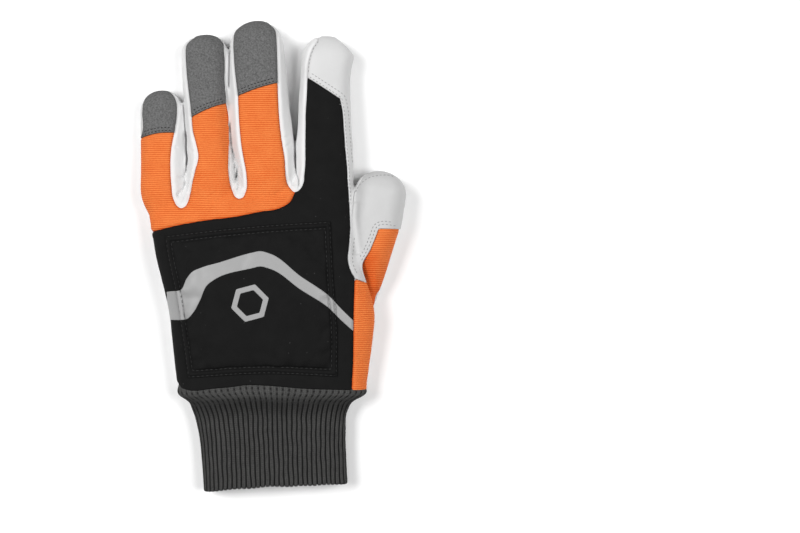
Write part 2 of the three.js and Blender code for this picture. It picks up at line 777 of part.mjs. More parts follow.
// Points at equal distances along a closed ring, so that the ribs are all as wide.
function evenRing(ring, count) {
  const curve = new THREE.CurvePath();
  ring.forEach((point, i) => curve.add(new THREE.LineCurve3(point, ring[(i + 1) % ring.length])));
  return curve.getSpacedPoints(count).slice(0, count);
}

function cuffRings(grow, sides) {
  return cuffRows.map((row) => sectionRing({
    left: row.left * (row.collar ? wristWidth : cuffWidth),
    right: row.right * (row.collar ? wristWidth : cuffWidth),
    top: row.top * (row.collar ? wristThickness : cuffThickness),
    grow,
    sides,
    boxiness: cuffBoxiness,
    place: (across, height) => new THREE.Vector3(across, -row.at * cuffLength, height),
  }));
}

// The ribs: every other point of each ring is drawn in towards the ring's middle.
function ribbed(ring) {
  const middle = ring.reduce((sum, p) => sum.add(p), new THREE.Vector3()).divideScalar(ring.length);
  const even = evenRing(ring, ribCount * 2);
  return even.map((point, k) => {
    if (k % 2 === 0) return point;
    const before = even[k - 1];
    const after = even[(k + 1) % even.length];
    const inwards = new THREE.Vector3(after.z - before.z, 0, before.x - after.x).normalize();
    if (inwards.dot(middle.clone().sub(point)) < 0) inwards.negate();
    return point.clone().addScaledVector(inwards, ribDepth);
  });
}

const cuffOuter = loft(cuffRings(0, 96).map(ribbed).reverse());
const cuffInner = loft(cuffRings(-cuffWall, cuffInnerSides).reverse());
const mouthAcross = (p) => (p.end ? p.end * farRight : p.across * cuffWidth);
const cuffOutline = [
  ...wristSeam.map((p) => new THREE.Vector2(p.x, p.y - seamGap)),
  ...[...mouthLine].reverse().map((p) => new THREE.Vector2(mouthAcross(p), -p.drop * cuffLength)),
];
solids.cuff = cuffOuter.subtract(cuffInner).intersect(prism(cuffOutline));

// Materials

const finishes = {
  leather: new THREE.MeshStandardMaterial({ color: 0xdcdcdc, roughness: 0.55, metalness: 0 }),
  orange: new THREE.MeshStandardMaterial({ color: 0xf2752a, roughness: 0.85, metalness: 0 }),
  suede: new THREE.MeshStandardMaterial({ color: 0x6e6e6e, roughness: 0.95, metalness: 0 }),
  black: new THREE.MeshStandardMaterial({ color: 0x1e1e1e, roughness: 0.85, metalness: 0 }),
  film: new THREE.MeshStandardMaterial({ color: 0xacacac, roughness: 0.5, metalness: 0.1 }),
  knit: new THREE.MeshStandardMaterial({ color: 0x3d3d3d, roughness: 0.95, metalness: 0 }),
};
const finishOf = {
  palm: 'leather',
  side_strip_little_ring: 'leather',
  side_strip_ring_middle: 'leather',
  side_strip_middle_index: 'leather',
  index_wrap: 'leather',
  thumb_leather: 'leather',
  knuckle_panel: 'orange',
  thumb_back: 'orange',
  wrist_gusset: 'orange',
  tip_cap_little: 'suede',
  tip_cap_ring: 'suede',
  tip_cap_middle: 'suede',
  back_panel: 'black',
  saw_pad: 'black',
  stripe_little_side: 'film',
  stripe_pad: 'film',
  stripe_thumb_side: 'film',
  badge: 'film',
  cuff: 'knit',
};

const glove = new THREE.Group();
for (const [name, finish] of Object.entries(finishOf)) {
  const mesh = new THREE.Mesh(geometryFromSolid(cleaned(solids[name])), finishes[finish]);
  mesh.name = name;
  glove.add(mesh);
}

// The origin is the middle of the footprint, on the surface.
const footprint = new THREE.Box3().setFromObject(glove);
const centre = footprint.getCenter(new THREE.Vector3());
glove.position.set(-centre.x, -centre.y, -footprint.min.z);

export default glove;
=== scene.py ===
import math

import bpy
import numpy as np
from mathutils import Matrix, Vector, noise
from mathutils.bvhtree import BVHTree
from mathutils.kdtree import KDTree


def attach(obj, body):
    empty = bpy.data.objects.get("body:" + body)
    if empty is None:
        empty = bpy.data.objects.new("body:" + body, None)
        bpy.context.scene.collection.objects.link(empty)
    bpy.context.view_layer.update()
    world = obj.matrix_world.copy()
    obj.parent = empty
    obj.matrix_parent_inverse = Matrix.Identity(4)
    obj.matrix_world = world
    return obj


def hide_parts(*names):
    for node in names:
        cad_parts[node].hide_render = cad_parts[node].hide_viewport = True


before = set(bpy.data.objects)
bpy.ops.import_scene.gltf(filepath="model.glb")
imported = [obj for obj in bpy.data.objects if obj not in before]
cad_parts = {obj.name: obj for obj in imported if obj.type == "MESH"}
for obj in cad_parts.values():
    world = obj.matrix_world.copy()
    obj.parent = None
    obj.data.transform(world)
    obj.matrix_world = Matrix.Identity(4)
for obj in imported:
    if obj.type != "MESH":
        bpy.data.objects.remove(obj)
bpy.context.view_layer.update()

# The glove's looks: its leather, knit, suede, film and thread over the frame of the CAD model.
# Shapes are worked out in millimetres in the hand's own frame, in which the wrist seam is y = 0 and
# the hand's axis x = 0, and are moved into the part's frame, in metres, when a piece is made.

scene = bpy.context.scene


def placed(name, data):
    """A new object of the scene."""
    thing = bpy.data.objects.new(name, data)
    scene.collection.objects.link(thing)
    return thing


# Camera: straight down over the middle of the photograph's view

HAND = np.array([-6.876, -76.883, 0.0])  # where the hand's own origin is in the part's frame
MM_PER_PIXEL = 0.578
VIEW_WIDTH = 800 * MM_PER_PIXEL
CAMERA_HEIGHT = 1300.0
VIEW_MIDDLE = np.array([79.76, 70.81, 0.0])  # in the hand's frame

camera = placed("camera", bpy.data.cameras.new("camera"))
camera.location = Vector((VIEW_MIDDLE + HAND + [0, 0, CAMERA_HEIGHT]) / 1000)
camera.data.lens = camera.data.sensor_width * CAMERA_HEIGHT / VIEW_WIDTH
scene.camera = camera

# Named sizes and tables, as in the CAD source

PALM_LENGTH, PALM_WIDTH, PALM_THICKNESS = 120.0, 120.0, 30.0
WRIST_WIDTH, WRIST_THICKNESS = 108.0, 24.0
CUFF_LENGTH, CUFF_WIDTH, CUFF_THICKNESS, CUFF_WALL = 58.0, 83.0, 20.0, 2.4
RIBS, RIB_DEPTH = 68, 0.9
COLLAR_END = 12.3  # how far down the cuff its collar ends
WALL = 1.3  # of the sewn pieces
SEAM_HEIGHT = 8.5  # of the seam round the hand, at which the palm's leather ends
PAD_BORDER, PAD_RISE = 4.0, 2.0
BADGE_RADIUS, BADGE_BAND, BADGE_TURN = 11.0, 3.4, 15.0
MIDDLE_PLANE = 0.42  # the share of its height at which a section is widest
SINK = 1.5  # how far a section's round would go on below its flat underside
KNUCKLE_SLOPE = 0.13  # how much farther up the palm ends for each millimetre across
PALM_BOXINESS, FINGER_BOXINESS, CUFF_BOXINESS = 2.8, 2.4, 2.7  # 2 is an oval, more is nearer a box

# at, left, right, top, lift
PALM_ROWS = [
    (-0.08, -0.386, 0.5004, 0.8, 0), (0, -0.388, 0.5004, 0.8, 0), (0.1, -0.406, 0.514, 0.84, 0),
    (0.22, -0.421, 0.53, 0.9, 0), (0.38, -0.437, 0.542, 0.97, 0), (0.48, -0.4585, 0.518, 1.0, 0.03),
    (0.57, -0.479, 0.492, 1.0, 0.07), (0.67, -0.499, 0.47, 0.98, 0.11), (0.76, -0.512, 0.455, 0.95, 0.14),
    (0.84, -0.5235, 0.448, 0.9, 0.15), (0.9, -0.533, 0.443, 0.82, 0.16), (0.96, -0.546, 0.438, 0.7, 0.18),
    (1.0, -0.55, 0.43, 0.52, 0.22)]
# Each finger: its root as shares of the palm, its lean in degrees, its round tip as a share of its width,
# rows as the palm's, the seams on its back (at, left, right) and its cap's edge (left, middle, right)
LITTLE = dict(
    length=62, width=26, thickness=19, across=-0.464, along=0.917, lean=-1.5, tip=0.48,
    rows=[(-0.3, -0.14, 0.28, 0.9, 0.3), (0, -0.472, 0.475, 1.14, 0.2), (0.25, -0.485, 0.487, 1.08, 0.14),
          (0.5, -0.479, 0.49, 1.0, 0.06), (0.75, -0.468, 0.488, 0.96, 0)],
    seams=[(0, -0.56, 0.25), (0.12, -0.56, 0.219), (0.3, -0.56, 0.205), (0.46, -0.56, 0.235),
           (0.53, -0.5, 0.27), (0.6, -0.437, 0.31), (0.8, -0.43, 0.375), (0.89, -0.4, 0.36),
           (0.95, -0.31, 0.29), (0.985, -0.2, 0.2)],
    cap=(0.556, 0.592, 0.597))
RING = dict(
    length=91, width=26.5, thickness=21, across=-0.233, along=0.942, lean=-2.2, tip=0.42,
    rows=[(-0.3, -0.36, 0.36, 0.9, 0.3), (0, -0.52, 0.52, 1.14, 0.22), (0.15, -0.515, 0.5, 1.12, 0.2),
          (0.27, -0.51, 0.45, 1.08, 0.17), (0.5, -0.52, 0.43, 1.02, 0.1), (0.68, -0.545, 0.425, 0.97, 0.03),
          (0.86, -0.545, 0.455, 0.92, 0)],
    seams=[(0, -0.45, 0.47), (0.06, -0.41, 0.437), (0.14, -0.325, 0.415), (0.22, -0.24, 0.425),
           (0.31, -0.285, 0.44), (0.39, -0.352, 0.445), (0.55, -0.392, 0.41), (0.7, -0.44, 0.395),
           (0.8, -0.462, 0.405), (0.88, -0.464, 0.407), (0.93, -0.445, 0.395), (0.965, -0.38, 0.34),
           (0.985, -0.26, 0.24)],
    cap=(0.473, 0.522, 0.557))
MIDDLE = dict(
    length=94, width=34, thickness=22.5, across=0.029, along=0.983, lean=-3.7, tip=0.44,
    rows=[(-0.3, -0.34, 0.34, 0.9, 0.3), (0, -0.46, 0.46, 1.12, 0.22), (0.15, -0.5, 0.49, 1.1, 0.2),
          (0.21, -0.515, 0.508, 1.09, 0.19), (0.28, -0.53, 0.5, 1.07, 0.17), (0.5, -0.535, 0.455, 1.02, 0.1),
          (0.7, -0.51, 0.44, 0.97, 0.03), (0.85, -0.475, 0.43, 0.93, 0)],
    seams=[(0, -0.321, 0.37), (0.06, -0.323, 0.352), (0.15, -0.352, 0.35), (0.24, -0.378, 0.325),
           (0.33, -0.389, 0.308), (0.55, -0.386, 0.308), (0.78, -0.425, 0.335), (0.87, -0.42, 0.34),
           (0.93, -0.39, 0.325), (0.965, -0.32, 0.28), (0.985, -0.22, 0.2)],
    cap=(0.54, 0.578, 0.606))
INDEX = dict(
    length=87, width=31, thickness=22, across=0.304, along=0.967, lean=0.2, tip=0.42,
    rows=[(-0.35, -0.34, 0.22, 0.9, 0.3), (0, -0.5, 0.52, 1.12, 0.2), (0.16, -0.515, 0.52, 1.09, 0.18),
          (0.25, -0.532, 0.515, 1.07, 0.16), (0.4, -0.497, 0.485, 1.03, 0.12),
          (0.6, -0.475, 0.465, 0.98, 0.06), (0.75, -0.435, 0.475, 0.94, 0.02), (0.87, -0.425, 0.535, 0.9, 0)],
    seams=[(0, -0.395, 0.442), (0.12, -0.362, 0.425), (0.25, -0.355, 0.391), (0.38, -0.356, 0.361),
           (0.5, -0.354, 0.334), (0.577, -0.341, 0.29), (0.72, -0.328, 0.29), (0.82, -0.31, 0.29),
           (0.92, -0.22, 0.29), (0.97, -0.13, 0.29)])
THUMB = dict(
    length=86.5, width=29, thickness=25, across=0.471, along=0.333, lean=9, tip=0.43,
    rows=[(-0.12, -0.25, -0.05, 0.36, 0.12), (0.1, -0.42, 0.225, 0.62, 0.1), (0.22, -0.45, 0.3, 0.72, 0.1),
          (0.34, -0.46, 0.362, 0.82, 0.08), (0.48, -0.47, 0.418, 0.92, 0.04), (0.61, -0.48, 0.48, 0.98, 0),
          (0.72, -0.49, 0.508, 1.0, 0), (0.81, -0.49, 0.522, 0.98, 0)])
INDEX_CAP = (0.72, 0.577)  # where the white tip's edge crosses the index finger's left and right seam
LEFT, RIGHT = 1, 2  # the columns of a finger's seams
SEAM_START = 0.06  # the share of a finger's length at which its seams leave the slit's foot
BEYOND = 1.3  # a share of a finger's length that is past its tip
FAR = 100.0  # past every side of the hand
# at, left, right, top, whether the shares are of the wrist
CUFF_ROWS = [
    (-0.08, -0.44, 0.556, 1.0, 1), (0.05, -0.433, 0.55, 1.0, 1), (0.11, -0.505, 0.64, 1.1, 0),
    (0.2, -0.474, 0.6, 1.03, 0), (0.4, -0.435, 0.586, 1.0, 0), (0.7, -0.41, 0.591, 0.98, 0),
    (1.1, -0.39, 0.606, 1.05, 0)]
# Lines on the back of the hand: across, along, as shares of the palm's width and length
KNUCKLE_LINE = [(-0.57, 0.742), (-0.502, 0.758), (-0.375, 0.788), (-0.28, 0.805), (-0.09, 0.831),
                (0.003, 0.85), (0.098, 0.868), (0.145, 0.897), (0.1675, 0.944)]
BACK_LEFT = [(-0.45, -0.03), (-0.57, 0.742)]
KNUCKLE_LEFT = [(-0.57, 0.742), (-0.61, 0.882)]
BACK_RIGHT = [(0.437, -0.03), (0.437, 0.0), (0.443, 0.1), (0.448, 0.384), (0.453, 0.531)]
HOOK = [(0.453, 0.531), (0.436, 0.559), (0.419, 0.612), (0.424, 0.693), (0.429, 0.773)]
HOOK_TIP = (0.505, 0.512)
INDEX_SIDE = [(0.429, 0.773), (0.425, 0.87)]
THUMB_FOLD = [HOOK_TIP, (0.488, 0.602), (0.522, 0.664), (0.55, 0.731), (0.564, 0.768)]
THUMB_SEAM = [*THUMB_FOLD[1:], (0.655, 0.768)]
CROTCH = [(0.429, 0.773), (0.436, 0.86), (0.446, 0.94)]
CROTCH_TOP = (0.536, 1.095)
GUSSET_FOOT = (0.545, 0.385)
# Round the foot of each slit between two fingers, from its left seam to its right
FOOT_LITTLE_RING = [(-0.409, 0.912), (-0.396, 0.8825), (-0.3725, 0.868), (-0.351, 0.879), (-0.341, 0.898),
                    (-0.3325, 0.946)]
FOOT_RING_MIDDLE = [(-0.128, 0.946), (-0.113, 0.92), (-0.099, 0.913), (-0.079, 0.92), (-0.0675, 0.946)]
FOOT_MIDDLE_INDEX = [(0.127, 1.02), (0.141, 0.968), (0.1675, 0.944), (0.19, 0.9575), (0.206, 0.996)]
PAD = [(-0.4475, 0.735), (-0.211, 0.7625), (0.069, 0.788), (0.336, 0.804), (0.349, 0.55), (0.367, 0.29),
       (0.367, 0.068), (0.02, 0.082), (-0.34, 0.061), (-0.3667, 0.268), (-0.398, 0.479), (-0.4275, 0.611)]
PAD_CORNERS = (0, 3, 6, 8, 12)
BADGE = (-0.04, 0.418)
# across, upper edge, lower edge
STRIPE = [(-0.44, 0.47, 0.334), (-0.425, 0.472, 0.336), (-0.366, 0.482, 0.338), (-0.34, 0.532, 0.343),
          (-0.308, 0.568, 0.375), (-0.276, 0.582, 0.432), (-0.241, 0.594, 0.503), (-0.206, 0.603, 0.529),
          (-0.03, 0.655, 0.582), (0.006, 0.662, 0.59), (0.057, 0.649, 0.578), (0.194, 0.547, 0.484),
          (0.34, 0.442, 0.385), (0.378, 0.4, 0.345), (0.443, 0.335, 0.285)]
# across, and how far down it is as a share of the cuff's length
WRIST_LINE = [(-1.2, -0.1), (-0.44, -0.088), (-0.418, -0.03), (-0.39, -0.01), (-0.332, 0.0), (-0.271, -0.017),
              (-0.151, -0.04), (-0.07, -0.06), (0.054, -0.052), (0.243, -0.022), (0.488, -0.006), (1.2, 0)]
MOUTH_LINE = [(-1.2, 1.0), (-0.37, 1.0), (-0.12, 0.965), (0.55, 0.93), (1.2, 0.91)]

# Curves and outlines in plan


def bell(away, width):
    """1 where away is 0, falling off smoothly to next to nothing at twice the width."""
    return np.exp(-((away / width) ** 2))


def ramp(value, start, end):
    """0 up to the start, 1 from the end on, and straight between them."""
    return np.clip((value - start) / (end - start), 0, 1)


def unit(rows):
    """The rows, each made one long."""
    return rows / np.maximum(np.linalg.norm(rows, axis=1, keepdims=True), 1e-12)


def runs_of(line):
    """How far along a line each of its points is."""
    return np.concatenate([[0], np.cumsum(np.linalg.norm(np.diff(line, axis=0), axis=1))])


def ways_of(line):
    """The direction of a line at each of its points."""
    return unit(np.gradient(line, axis=0))


def on_hand(points):
    return np.array(points, float) * [PALM_WIDTH, PALM_LENGTH]


def on_finger(finger, at, across):
    """A point at a share of a finger's length and of its width from its axis."""
    lean = math.radians(finger["lean"])
    root = on_hand((finger["across"], finger["along"]))
    reach, side = at * finger["length"], across * finger["width"]
    return (root[0] + reach * math.sin(lean) + side * math.cos(lean),
            root[1] + reach * math.cos(lean) - side * math.sin(lean))


def hermite(table, at):
    """The columns of a table, smoothly between its rows; the first column is where the rows are."""
    table = np.array(table, float)
    x, y = table[:, 0], table[:, 1:]
    slope = np.gradient(y, x, axis=0)
    at = np.clip(at, x[0], x[-1])
    i = np.clip(np.searchsorted(x, at) - 1, 0, len(x) - 2)
    h = (x[i + 1] - x[i])[:, None]
    s = (at - x[i])[:, None] / h
    return ((1 + 2 * s) * (1 - s) ** 2 * y[i] + s * (1 - s) ** 2 * h * slope[i]
            + s * s * (3 - 2 * s) * y[i + 1] + s * s * (s - 1) * h * slope[i + 1])


def smooth(points, step=1.2):
    """A smooth open curve through the points, with a point about every step."""
    points = np.array(points, float)
    runs = runs_of(points)
    count = max(int(runs[-1] / step), 2)
    where = np.unique(np.concatenate([np.linspace(0, runs[-1], count), runs]))
    return hermite(np.column_stack([runs, points]), where)


def on_seam(finger, side, at):
    """The point on a finger's left or right seam at a share of its length."""
    table = np.array(finger["seams"])
    return on_finger(finger, at, np.interp(at, table[:, 0], table[:, side]))


def seam(finger, side, start, end):
    """The seam on a finger's back from one share of its length to another."""
    rows = [row[0] for row in finger["seams"] if start + 0.02 < row[0] < end - 0.02]
    return [on_seam(finger, side, at) for at in (start, *rows, end)]


def cap_line(finger):
    """The lower edge of a fingertip's cap."""
    left, middle, right = finger["cap"]
    ridge = np.mean([on_seam(finger, side, middle) for side in (LEFT, RIGHT)], axis=0)
    return smooth([on_seam(finger, LEFT, left), ridge, on_seam(finger, RIGHT, right)])


def cap_outline(finger):
    at, *ends = finger["seams"][-1]
    up = smooth(seam(finger, LEFT, finger["cap"][0], at))
    down = smooth(seam(finger, RIGHT, finger["cap"][2], at))[::-1]
    return np.vstack([up, [on_finger(finger, BEYOND, end) for end in ends], down, cap_line(finger)[::-1]])


def slit(left, start, foot, right, end):
    """The seam round a slit: down a finger's right side, round the foot, and up the next finger."""
    return smooth([*seam(left, RIGHT, start, left["cap"][2])[::-1], *on_hand(foot),
                   *seam(right, LEFT, SEAM_START, end)])


round_little_ring = slit(LITTLE, 0.12, FOOT_LITTLE_RING, RING, RING["cap"][0])
round_ring_middle = slit(RING, SEAM_START, FOOT_RING_MIDDLE, MIDDLE, MIDDLE["cap"][0])
round_middle_index = slit(MIDDLE, SEAM_START, FOOT_MIDDLE_INDEX, INDEX, INDEX_CAP[0])
meeting = int(np.argmin(np.linalg.norm(round_middle_index - on_hand(KNUCKLE_LINE[-1]), axis=1)))
knuckle_line = smooth(on_hand(KNUCKLE_LINE))
little_left = smooth([*on_hand(KNUCKLE_LEFT), *seam(LITTLE, LEFT, SEAM_START, LITTLE["cap"][0])])
index_right = smooth([*seam(INDEX, RIGHT, SEAM_START, INDEX_CAP[1])[::-1], *on_hand(INDEX_SIDE)[::-1]])
index_tip_left = smooth(seam(INDEX, LEFT, INDEX_CAP[0], INDEX["seams"][-1][0]))
tip_line = smooth([on_seam(INDEX, LEFT, INDEX_CAP[0]), on_seam(INDEX, RIGHT, INDEX_CAP[1])])
back_right = smooth(on_hand(BACK_RIGHT))
hook_line = smooth(on_hand(HOOK))
thumb_line = smooth(on_hand(THUMB_FOLD))
crotch_line = smooth(on_hand(CROTCH))
crotch_top, gusset_foot, fold_end = on_hand([CROTCH_TOP, GUSSET_FOOT, THUMB_FOLD[-1]])
thumb_top = on_finger(THUMB, BEYOND, 0)[1]
# The pad's corners are square, and its sides are smooth from one to the next.
pad_points = on_hand([*PAD, PAD[0]])
pad_sides = [smooth(pad_points[a:b + 1]) for a, b in zip(PAD_CORNERS, PAD_CORNERS[1:])]
# Where two outlines overlap, the face belongs to the first.
outlines = {
    "saw_pad": np.vstack([side[:-1] for side in pad_sides]),
    "tip_cap_little": cap_outline(LITTLE),
    "tip_cap_ring": cap_outline(RING),
    "tip_cap_middle": cap_outline(MIDDLE),
    "knuckle_panel": np.vstack([
        little_left, cap_line(LITTLE), round_little_ring, cap_line(RING), round_ring_middle,
        cap_line(MIDDLE), round_middle_index[:meeting + 1], knuckle_line[::-1]]),
    "back_panel": np.vstack([
        on_hand(BACK_LEFT), knuckle_line, round_middle_index[meeting:], tip_line, index_right,
        hook_line[::-1], back_right[::-1]]),
    "index_wrap": np.vstack([
        index_tip_left, [on_finger(INDEX, BEYOND, -0.05), on_finger(INDEX, BEYOND, 0.9)],
        crotch_top, crotch_line[::-1], index_right[::-1], tip_line[::-1]]),
    "thumb_leather": np.vstack([
        hook_line, crotch_line, crotch_top, (on_finger(THUMB, 1, 0)[0], thumb_top),
        (FAR, thumb_top), (FAR, fold_end[1]), thumb_line[::-1]]),
    "thumb_back": np.vstack([thumb_line, (FAR, fold_end[1]), (FAR, gusset_foot[1]), gusset_foot]),
    "wrist_gusset": np.vstack([
        back_right, on_hand(HOOK_TIP), gusset_foot, (FAR, gusset_foot[1]), (FAR, -FAR),
        (back_right[0][0], -FAR)]),
}
# Each side strip: the fingers on its left and right, and the foot of their slit
STRIPS = {"side_strip_little_ring": (LITTLE, RING, FOOT_LITTLE_RING),
          "side_strip_ring_middle": (RING, MIDDLE, FOOT_RING_MIDDLE),
          "side_strip_middle_index": (MIDDLE, INDEX, FOOT_MIDDLE_INDEX)}
names = ["palm", *outlines, *STRIPS]
REACH = 9.0  # millimetres past which distances to an outline don't matter


def inside(points, outline):
    """Distance to an outline in plan, above 0 inside it and never over REACH."""
    order = np.argsort(points[:, 1])
    x, y = points[order, 0], points[order, 1]
    nearest = np.full(len(x), REACH ** 2)
    within = np.zeros(len(x), bool)
    for (ax, ay), (bx, by) in zip(outline, np.roll(outline, -1, axis=0)):
        dx, dy = bx - ax, by - ay
        if dx * dx + dy * dy < 1e-12:
            continue
        low, high = min(ay, by), max(ay, by)
        some = slice(*np.searchsorted(y, (low - REACH, high + REACH)))
        s = np.clip(((x[some] - ax) * dx + (y[some] - ay) * dy) / (dx * dx + dy * dy), 0, 1)
        away = (x[some] - ax - s * dx) ** 2 + (y[some] - ay - s * dy) ** 2
        nearest[some] = np.minimum(nearest[some], away)
        some = slice(*np.searchsorted(y, (low, high)))
        if dy:
            within[some] ^= x[some] < dx * (y[some] - ay) / dy + ax
    signed = np.empty(len(x))
    signed[order] = np.where(within, 1, -1) * np.sqrt(nearest)
    return signed


def beside(points, line):
    """Distance in plan to an open line, and how far the nearest spot on it is from the line's ends."""
    line = np.array(line, float)
    runs = runs_of(line)
    nearest, run = np.full(len(points), np.inf), np.zeros(len(points))
    for a, b, start in zip(line[:-1], line[1:], runs):
        d = b - a
        s = np.clip((points[:, :2] - a) @ d / (d @ d), 0, 1)
        away = np.linalg.norm(points[:, :2] - a - s[:, None] * d, axis=1)
        run = np.where(away < nearest, start + s * math.hypot(*d), run)
        nearest = np.minimum(nearest, away)
    return nearest, np.minimum(run, runs[-1] - run)


def pressed(points, lines, edge):
    """How far folds press points in. Each is a line, a depth and a width, and eases in over an edge."""
    total = np.zeros(len(points))
    for line, depth, width in lines:
        line = smooth(line, 0.8)
        box = np.all((points[:, :2] > line.min(axis=0) - 3 * width)
                     & (points[:, :2] < line.max(axis=0) + 3 * width), axis=1)
        away, ends = beside(points[box], line)
        total[box] += depth * bell(away, width) * ramp(ends, 0, edge)
    return total


# Meshes as arrays of points and triangles


def sides_of(faces):
    return np.vstack([faces[:, [0, 1]], faces[:, [1, 2]], faces[:, [2, 0]]])


def pairs_of(pairs):
    """The different pairs of numbers among the rows, and which of them each row is."""
    pairs = np.sort(pairs, axis=1)
    wide = int(pairs.max()) + 1
    keys, back = np.unique(pairs[:, 0] * wide + pairs[:, 1], return_inverse=True)
    return np.column_stack([keys // wide, keys % wide]), back


def gathered(where, values, count):
    """Rows of values added up at the numbers they belong to."""
    return np.column_stack([np.bincount(where, column, count) for column in values.T])


def relaxed(points, faces, times, back=0.0):
    """The points drawn half way to the middle of their neighbours. With a share back, every second
    time goes that much of the way out again, so that the form keeps its size."""
    a, b = pairs_of(sides_of(faces))[0].T
    ends, others = np.concatenate([a, b]), np.concatenate([b, a])
    count = np.bincount(ends, minlength=len(points))[:, None]
    for turn in range(times):
        step = -0.5 * back if back and turn % 2 else 0.5
        points = points + step * (gathered(ends, points[others], len(points)) / count - points)
    return points


def normals_of(points, faces):
    p = points[faces]
    flat = np.cross(p[:, 1] - p[:, 0], p[:, 2] - p[:, 0])
    return unit(gathered(faces.ravel(), np.repeat(flat, 3, axis=0), len(points)))


def soft_normals(points, faces, times):
    """Normals evened out over their neighbours."""
    return unit(relaxed(normals_of(points, faces), faces, times))


def split(data, faces, level, snap=0.04):
    """Cuts the triangles along the line where level is 0. Returns the points, faces and levels."""
    level = np.where(np.abs(level) < snap, 0.0, level)
    signs = np.sign(level)[faces]
    crossed = signs * np.roll(signs, -1, axis=1) < 0
    count = crossed.sum(axis=1)
    tri, crossed, plain = faces[count > 0], crossed[count > 0], faces[count == 0]
    count = count[count > 0]
    # Turn each triangle so that the corner alone on its side, or on the line, comes first.
    first = np.where(count == 2, np.argmax(crossed & np.roll(crossed, 1, axis=1), axis=1),
                     (np.argmax(crossed, axis=1) + 2) % 3)
    rows = np.arange(len(tri))[:, None]
    tri = tri[rows, (first[:, None] + [0, 1, 2]) % 3]
    two, one = tri[count == 2], tri[count == 1]
    pairs = np.vstack([two[:, [0, 1]], two[:, [0, 2]], one[:, [1, 2]]])
    if not len(pairs):
        return data, faces, level
    keys, back = pairs_of(pairs)
    back = back + len(data)
    a, b = keys.T
    share = (level[a] / (level[a] - level[b]))[:, None]
    data = np.vstack([data, data[a] + share * (data[b] - data[a])])
    level = np.concatenate([level, np.zeros(len(keys))])
    p, q, m = np.split(back, [len(two), 2 * len(two)])
    faces = np.vstack([
        plain, np.column_stack([two[:, 0], p, q]), np.column_stack([p, two[:, 1], two[:, 2]]),
        np.column_stack([p, two[:, 2], q]), np.column_stack([one[:, 0], one[:, 1], m]),
        np.column_stack([one[:, 0], m, one[:, 2]])])
    return data, faces, level


def refined(points, faces, chosen):
    """The chosen triangles cut in four, and their neighbours cut to match."""
    keys, back = pairs_of(np.stack([faces, np.roll(faces, -1, axis=1)], axis=2).reshape(-1, 2))
    back = back.reshape(-1, 3)
    marked = np.zeros(len(keys), bool)
    marked[back[chosen].ravel()] = True
    middle = np.cumsum(marked) - 1 + len(points)
    points = np.vstack([points, points[keys[marked]].mean(axis=1)])
    cut = marked[back]
    count = cut.sum(axis=1)
    # Turn each triangle so that its one cut side comes first, or its one whole side last.
    first = np.where(count == 1, np.argmax(cut, axis=1), (np.argmin(cut, axis=1) + 1) % 3)
    rows, turn = np.arange(len(faces))[:, None], (first[:, None] + [0, 1, 2]) % 3
    corners = np.hstack([faces[rows, turn], middle[back][rows, turn]])
    one, two, three = (corners[count == n] for n in (1, 2, 3))
    return points, np.vstack([
        faces[count == 0], one[:, [0, 3, 2]], one[:, [3, 1, 2]],
        two[:, [3, 1, 4]], two[:, [0, 3, 4]], two[:, [0, 4, 2]],
        three[:, [0, 3, 5]], three[:, [3, 1, 4]], three[:, [5, 4, 2]], three[:, [3, 4, 5]]])


def only(data, faces):
    """The faces with just the points that they use."""
    used, faces = np.unique(faces, return_inverse=True)
    return data[used], faces.reshape(-1, 3)


def soft_noise(points, size, seed=0.0):
    return np.array([noise.noise(Vector(p) / size + Vector((seed, 0, 0))) for p in points])


def tree_of(points):
    tree = KDTree(len(points))
    for k, point in enumerate(points):
        tree.insert(point, k)
    tree.balance()
    return tree


def mesh_object(name, points, faces):
    mesh = bpy.data.meshes.new(name)
    mesh.from_pydata(points, [], faces)
    return placed(name, mesh)


def taken(thing):
    """The points and triangles of an object with its modifiers. The object is deleted."""
    shown = thing.evaluated_get(bpy.context.evaluated_depsgraph_get())
    mesh = shown.to_mesh()
    mesh.calc_loop_triangles()
    points = np.empty(len(mesh.vertices) * 3)
    mesh.vertices.foreach_get("co", points)
    corners = np.empty(len(mesh.loop_triangles) * 3, np.int32)
    mesh.loop_triangles.foreach_get("vertices", corners)
    shown.to_mesh_clear()
    bpy.data.objects.remove(thing)
    return points.reshape(-1, 3), corners.reshape(-1, 3).astype(np.int64)


# The hand as one closed form

VOXEL = 0.7
PALM_SIDES, PALM_STATIONS = 160, 72
FINGER_SIDES, FINGER_STATIONS, TIP_STATIONS = 72, 45, 14
# The bar of a web in section: across, the share of its top's height, and what is added to that
WEB_BAR = [(-1.5, 0.5, 0), (1.5, 0.5, 0), (1.5, 1, -1.2), (0.8, 1, -0.2), (-0.8, 1, -0.2), (-1.5, 1, -1.2)]
# Where the side strips of two fingers meet at the bottom of a slit: x, y, height
WEBS = [
    [(-44.5, 100, 16.5), (-44.4, 108, 16), (-44, 114, 14.8), (-43, 120, 13.5), (-42.6, 126, 12),
     (-42.5, 131, 10.3), (-42.8, 137, 9), (-43.2, 144, 8.6), (-43.6, 151, 8.6), (-44, 159, 8),
     (-44.3, 165, 3)],
    [(-12.2, 104, 16.8), (-12.5, 110, 16.3), (-13.1, 114, 15), (-13.5, 118, 14), (-13.7, 122, 12),
     (-14, 127, 11.5), (-15.2, 133, 11), (-16.3, 138, 11), (-17.3, 146, 12), (-17.9, 158, 12.3),
     (-18.2, 170, 11), (-18.6, 183, 8), (-19, 190, 3)],
    [(20, 106, 17), (20.4, 112, 16.3), (20.8, 116, 15), (20.7, 120, 12.5), (20.2, 124, 8), (20, 128, 3)]]
THUMB_ROOT = [(53.5, 114), (53.5, 98), (55.5, 84), (57.5, 76)]
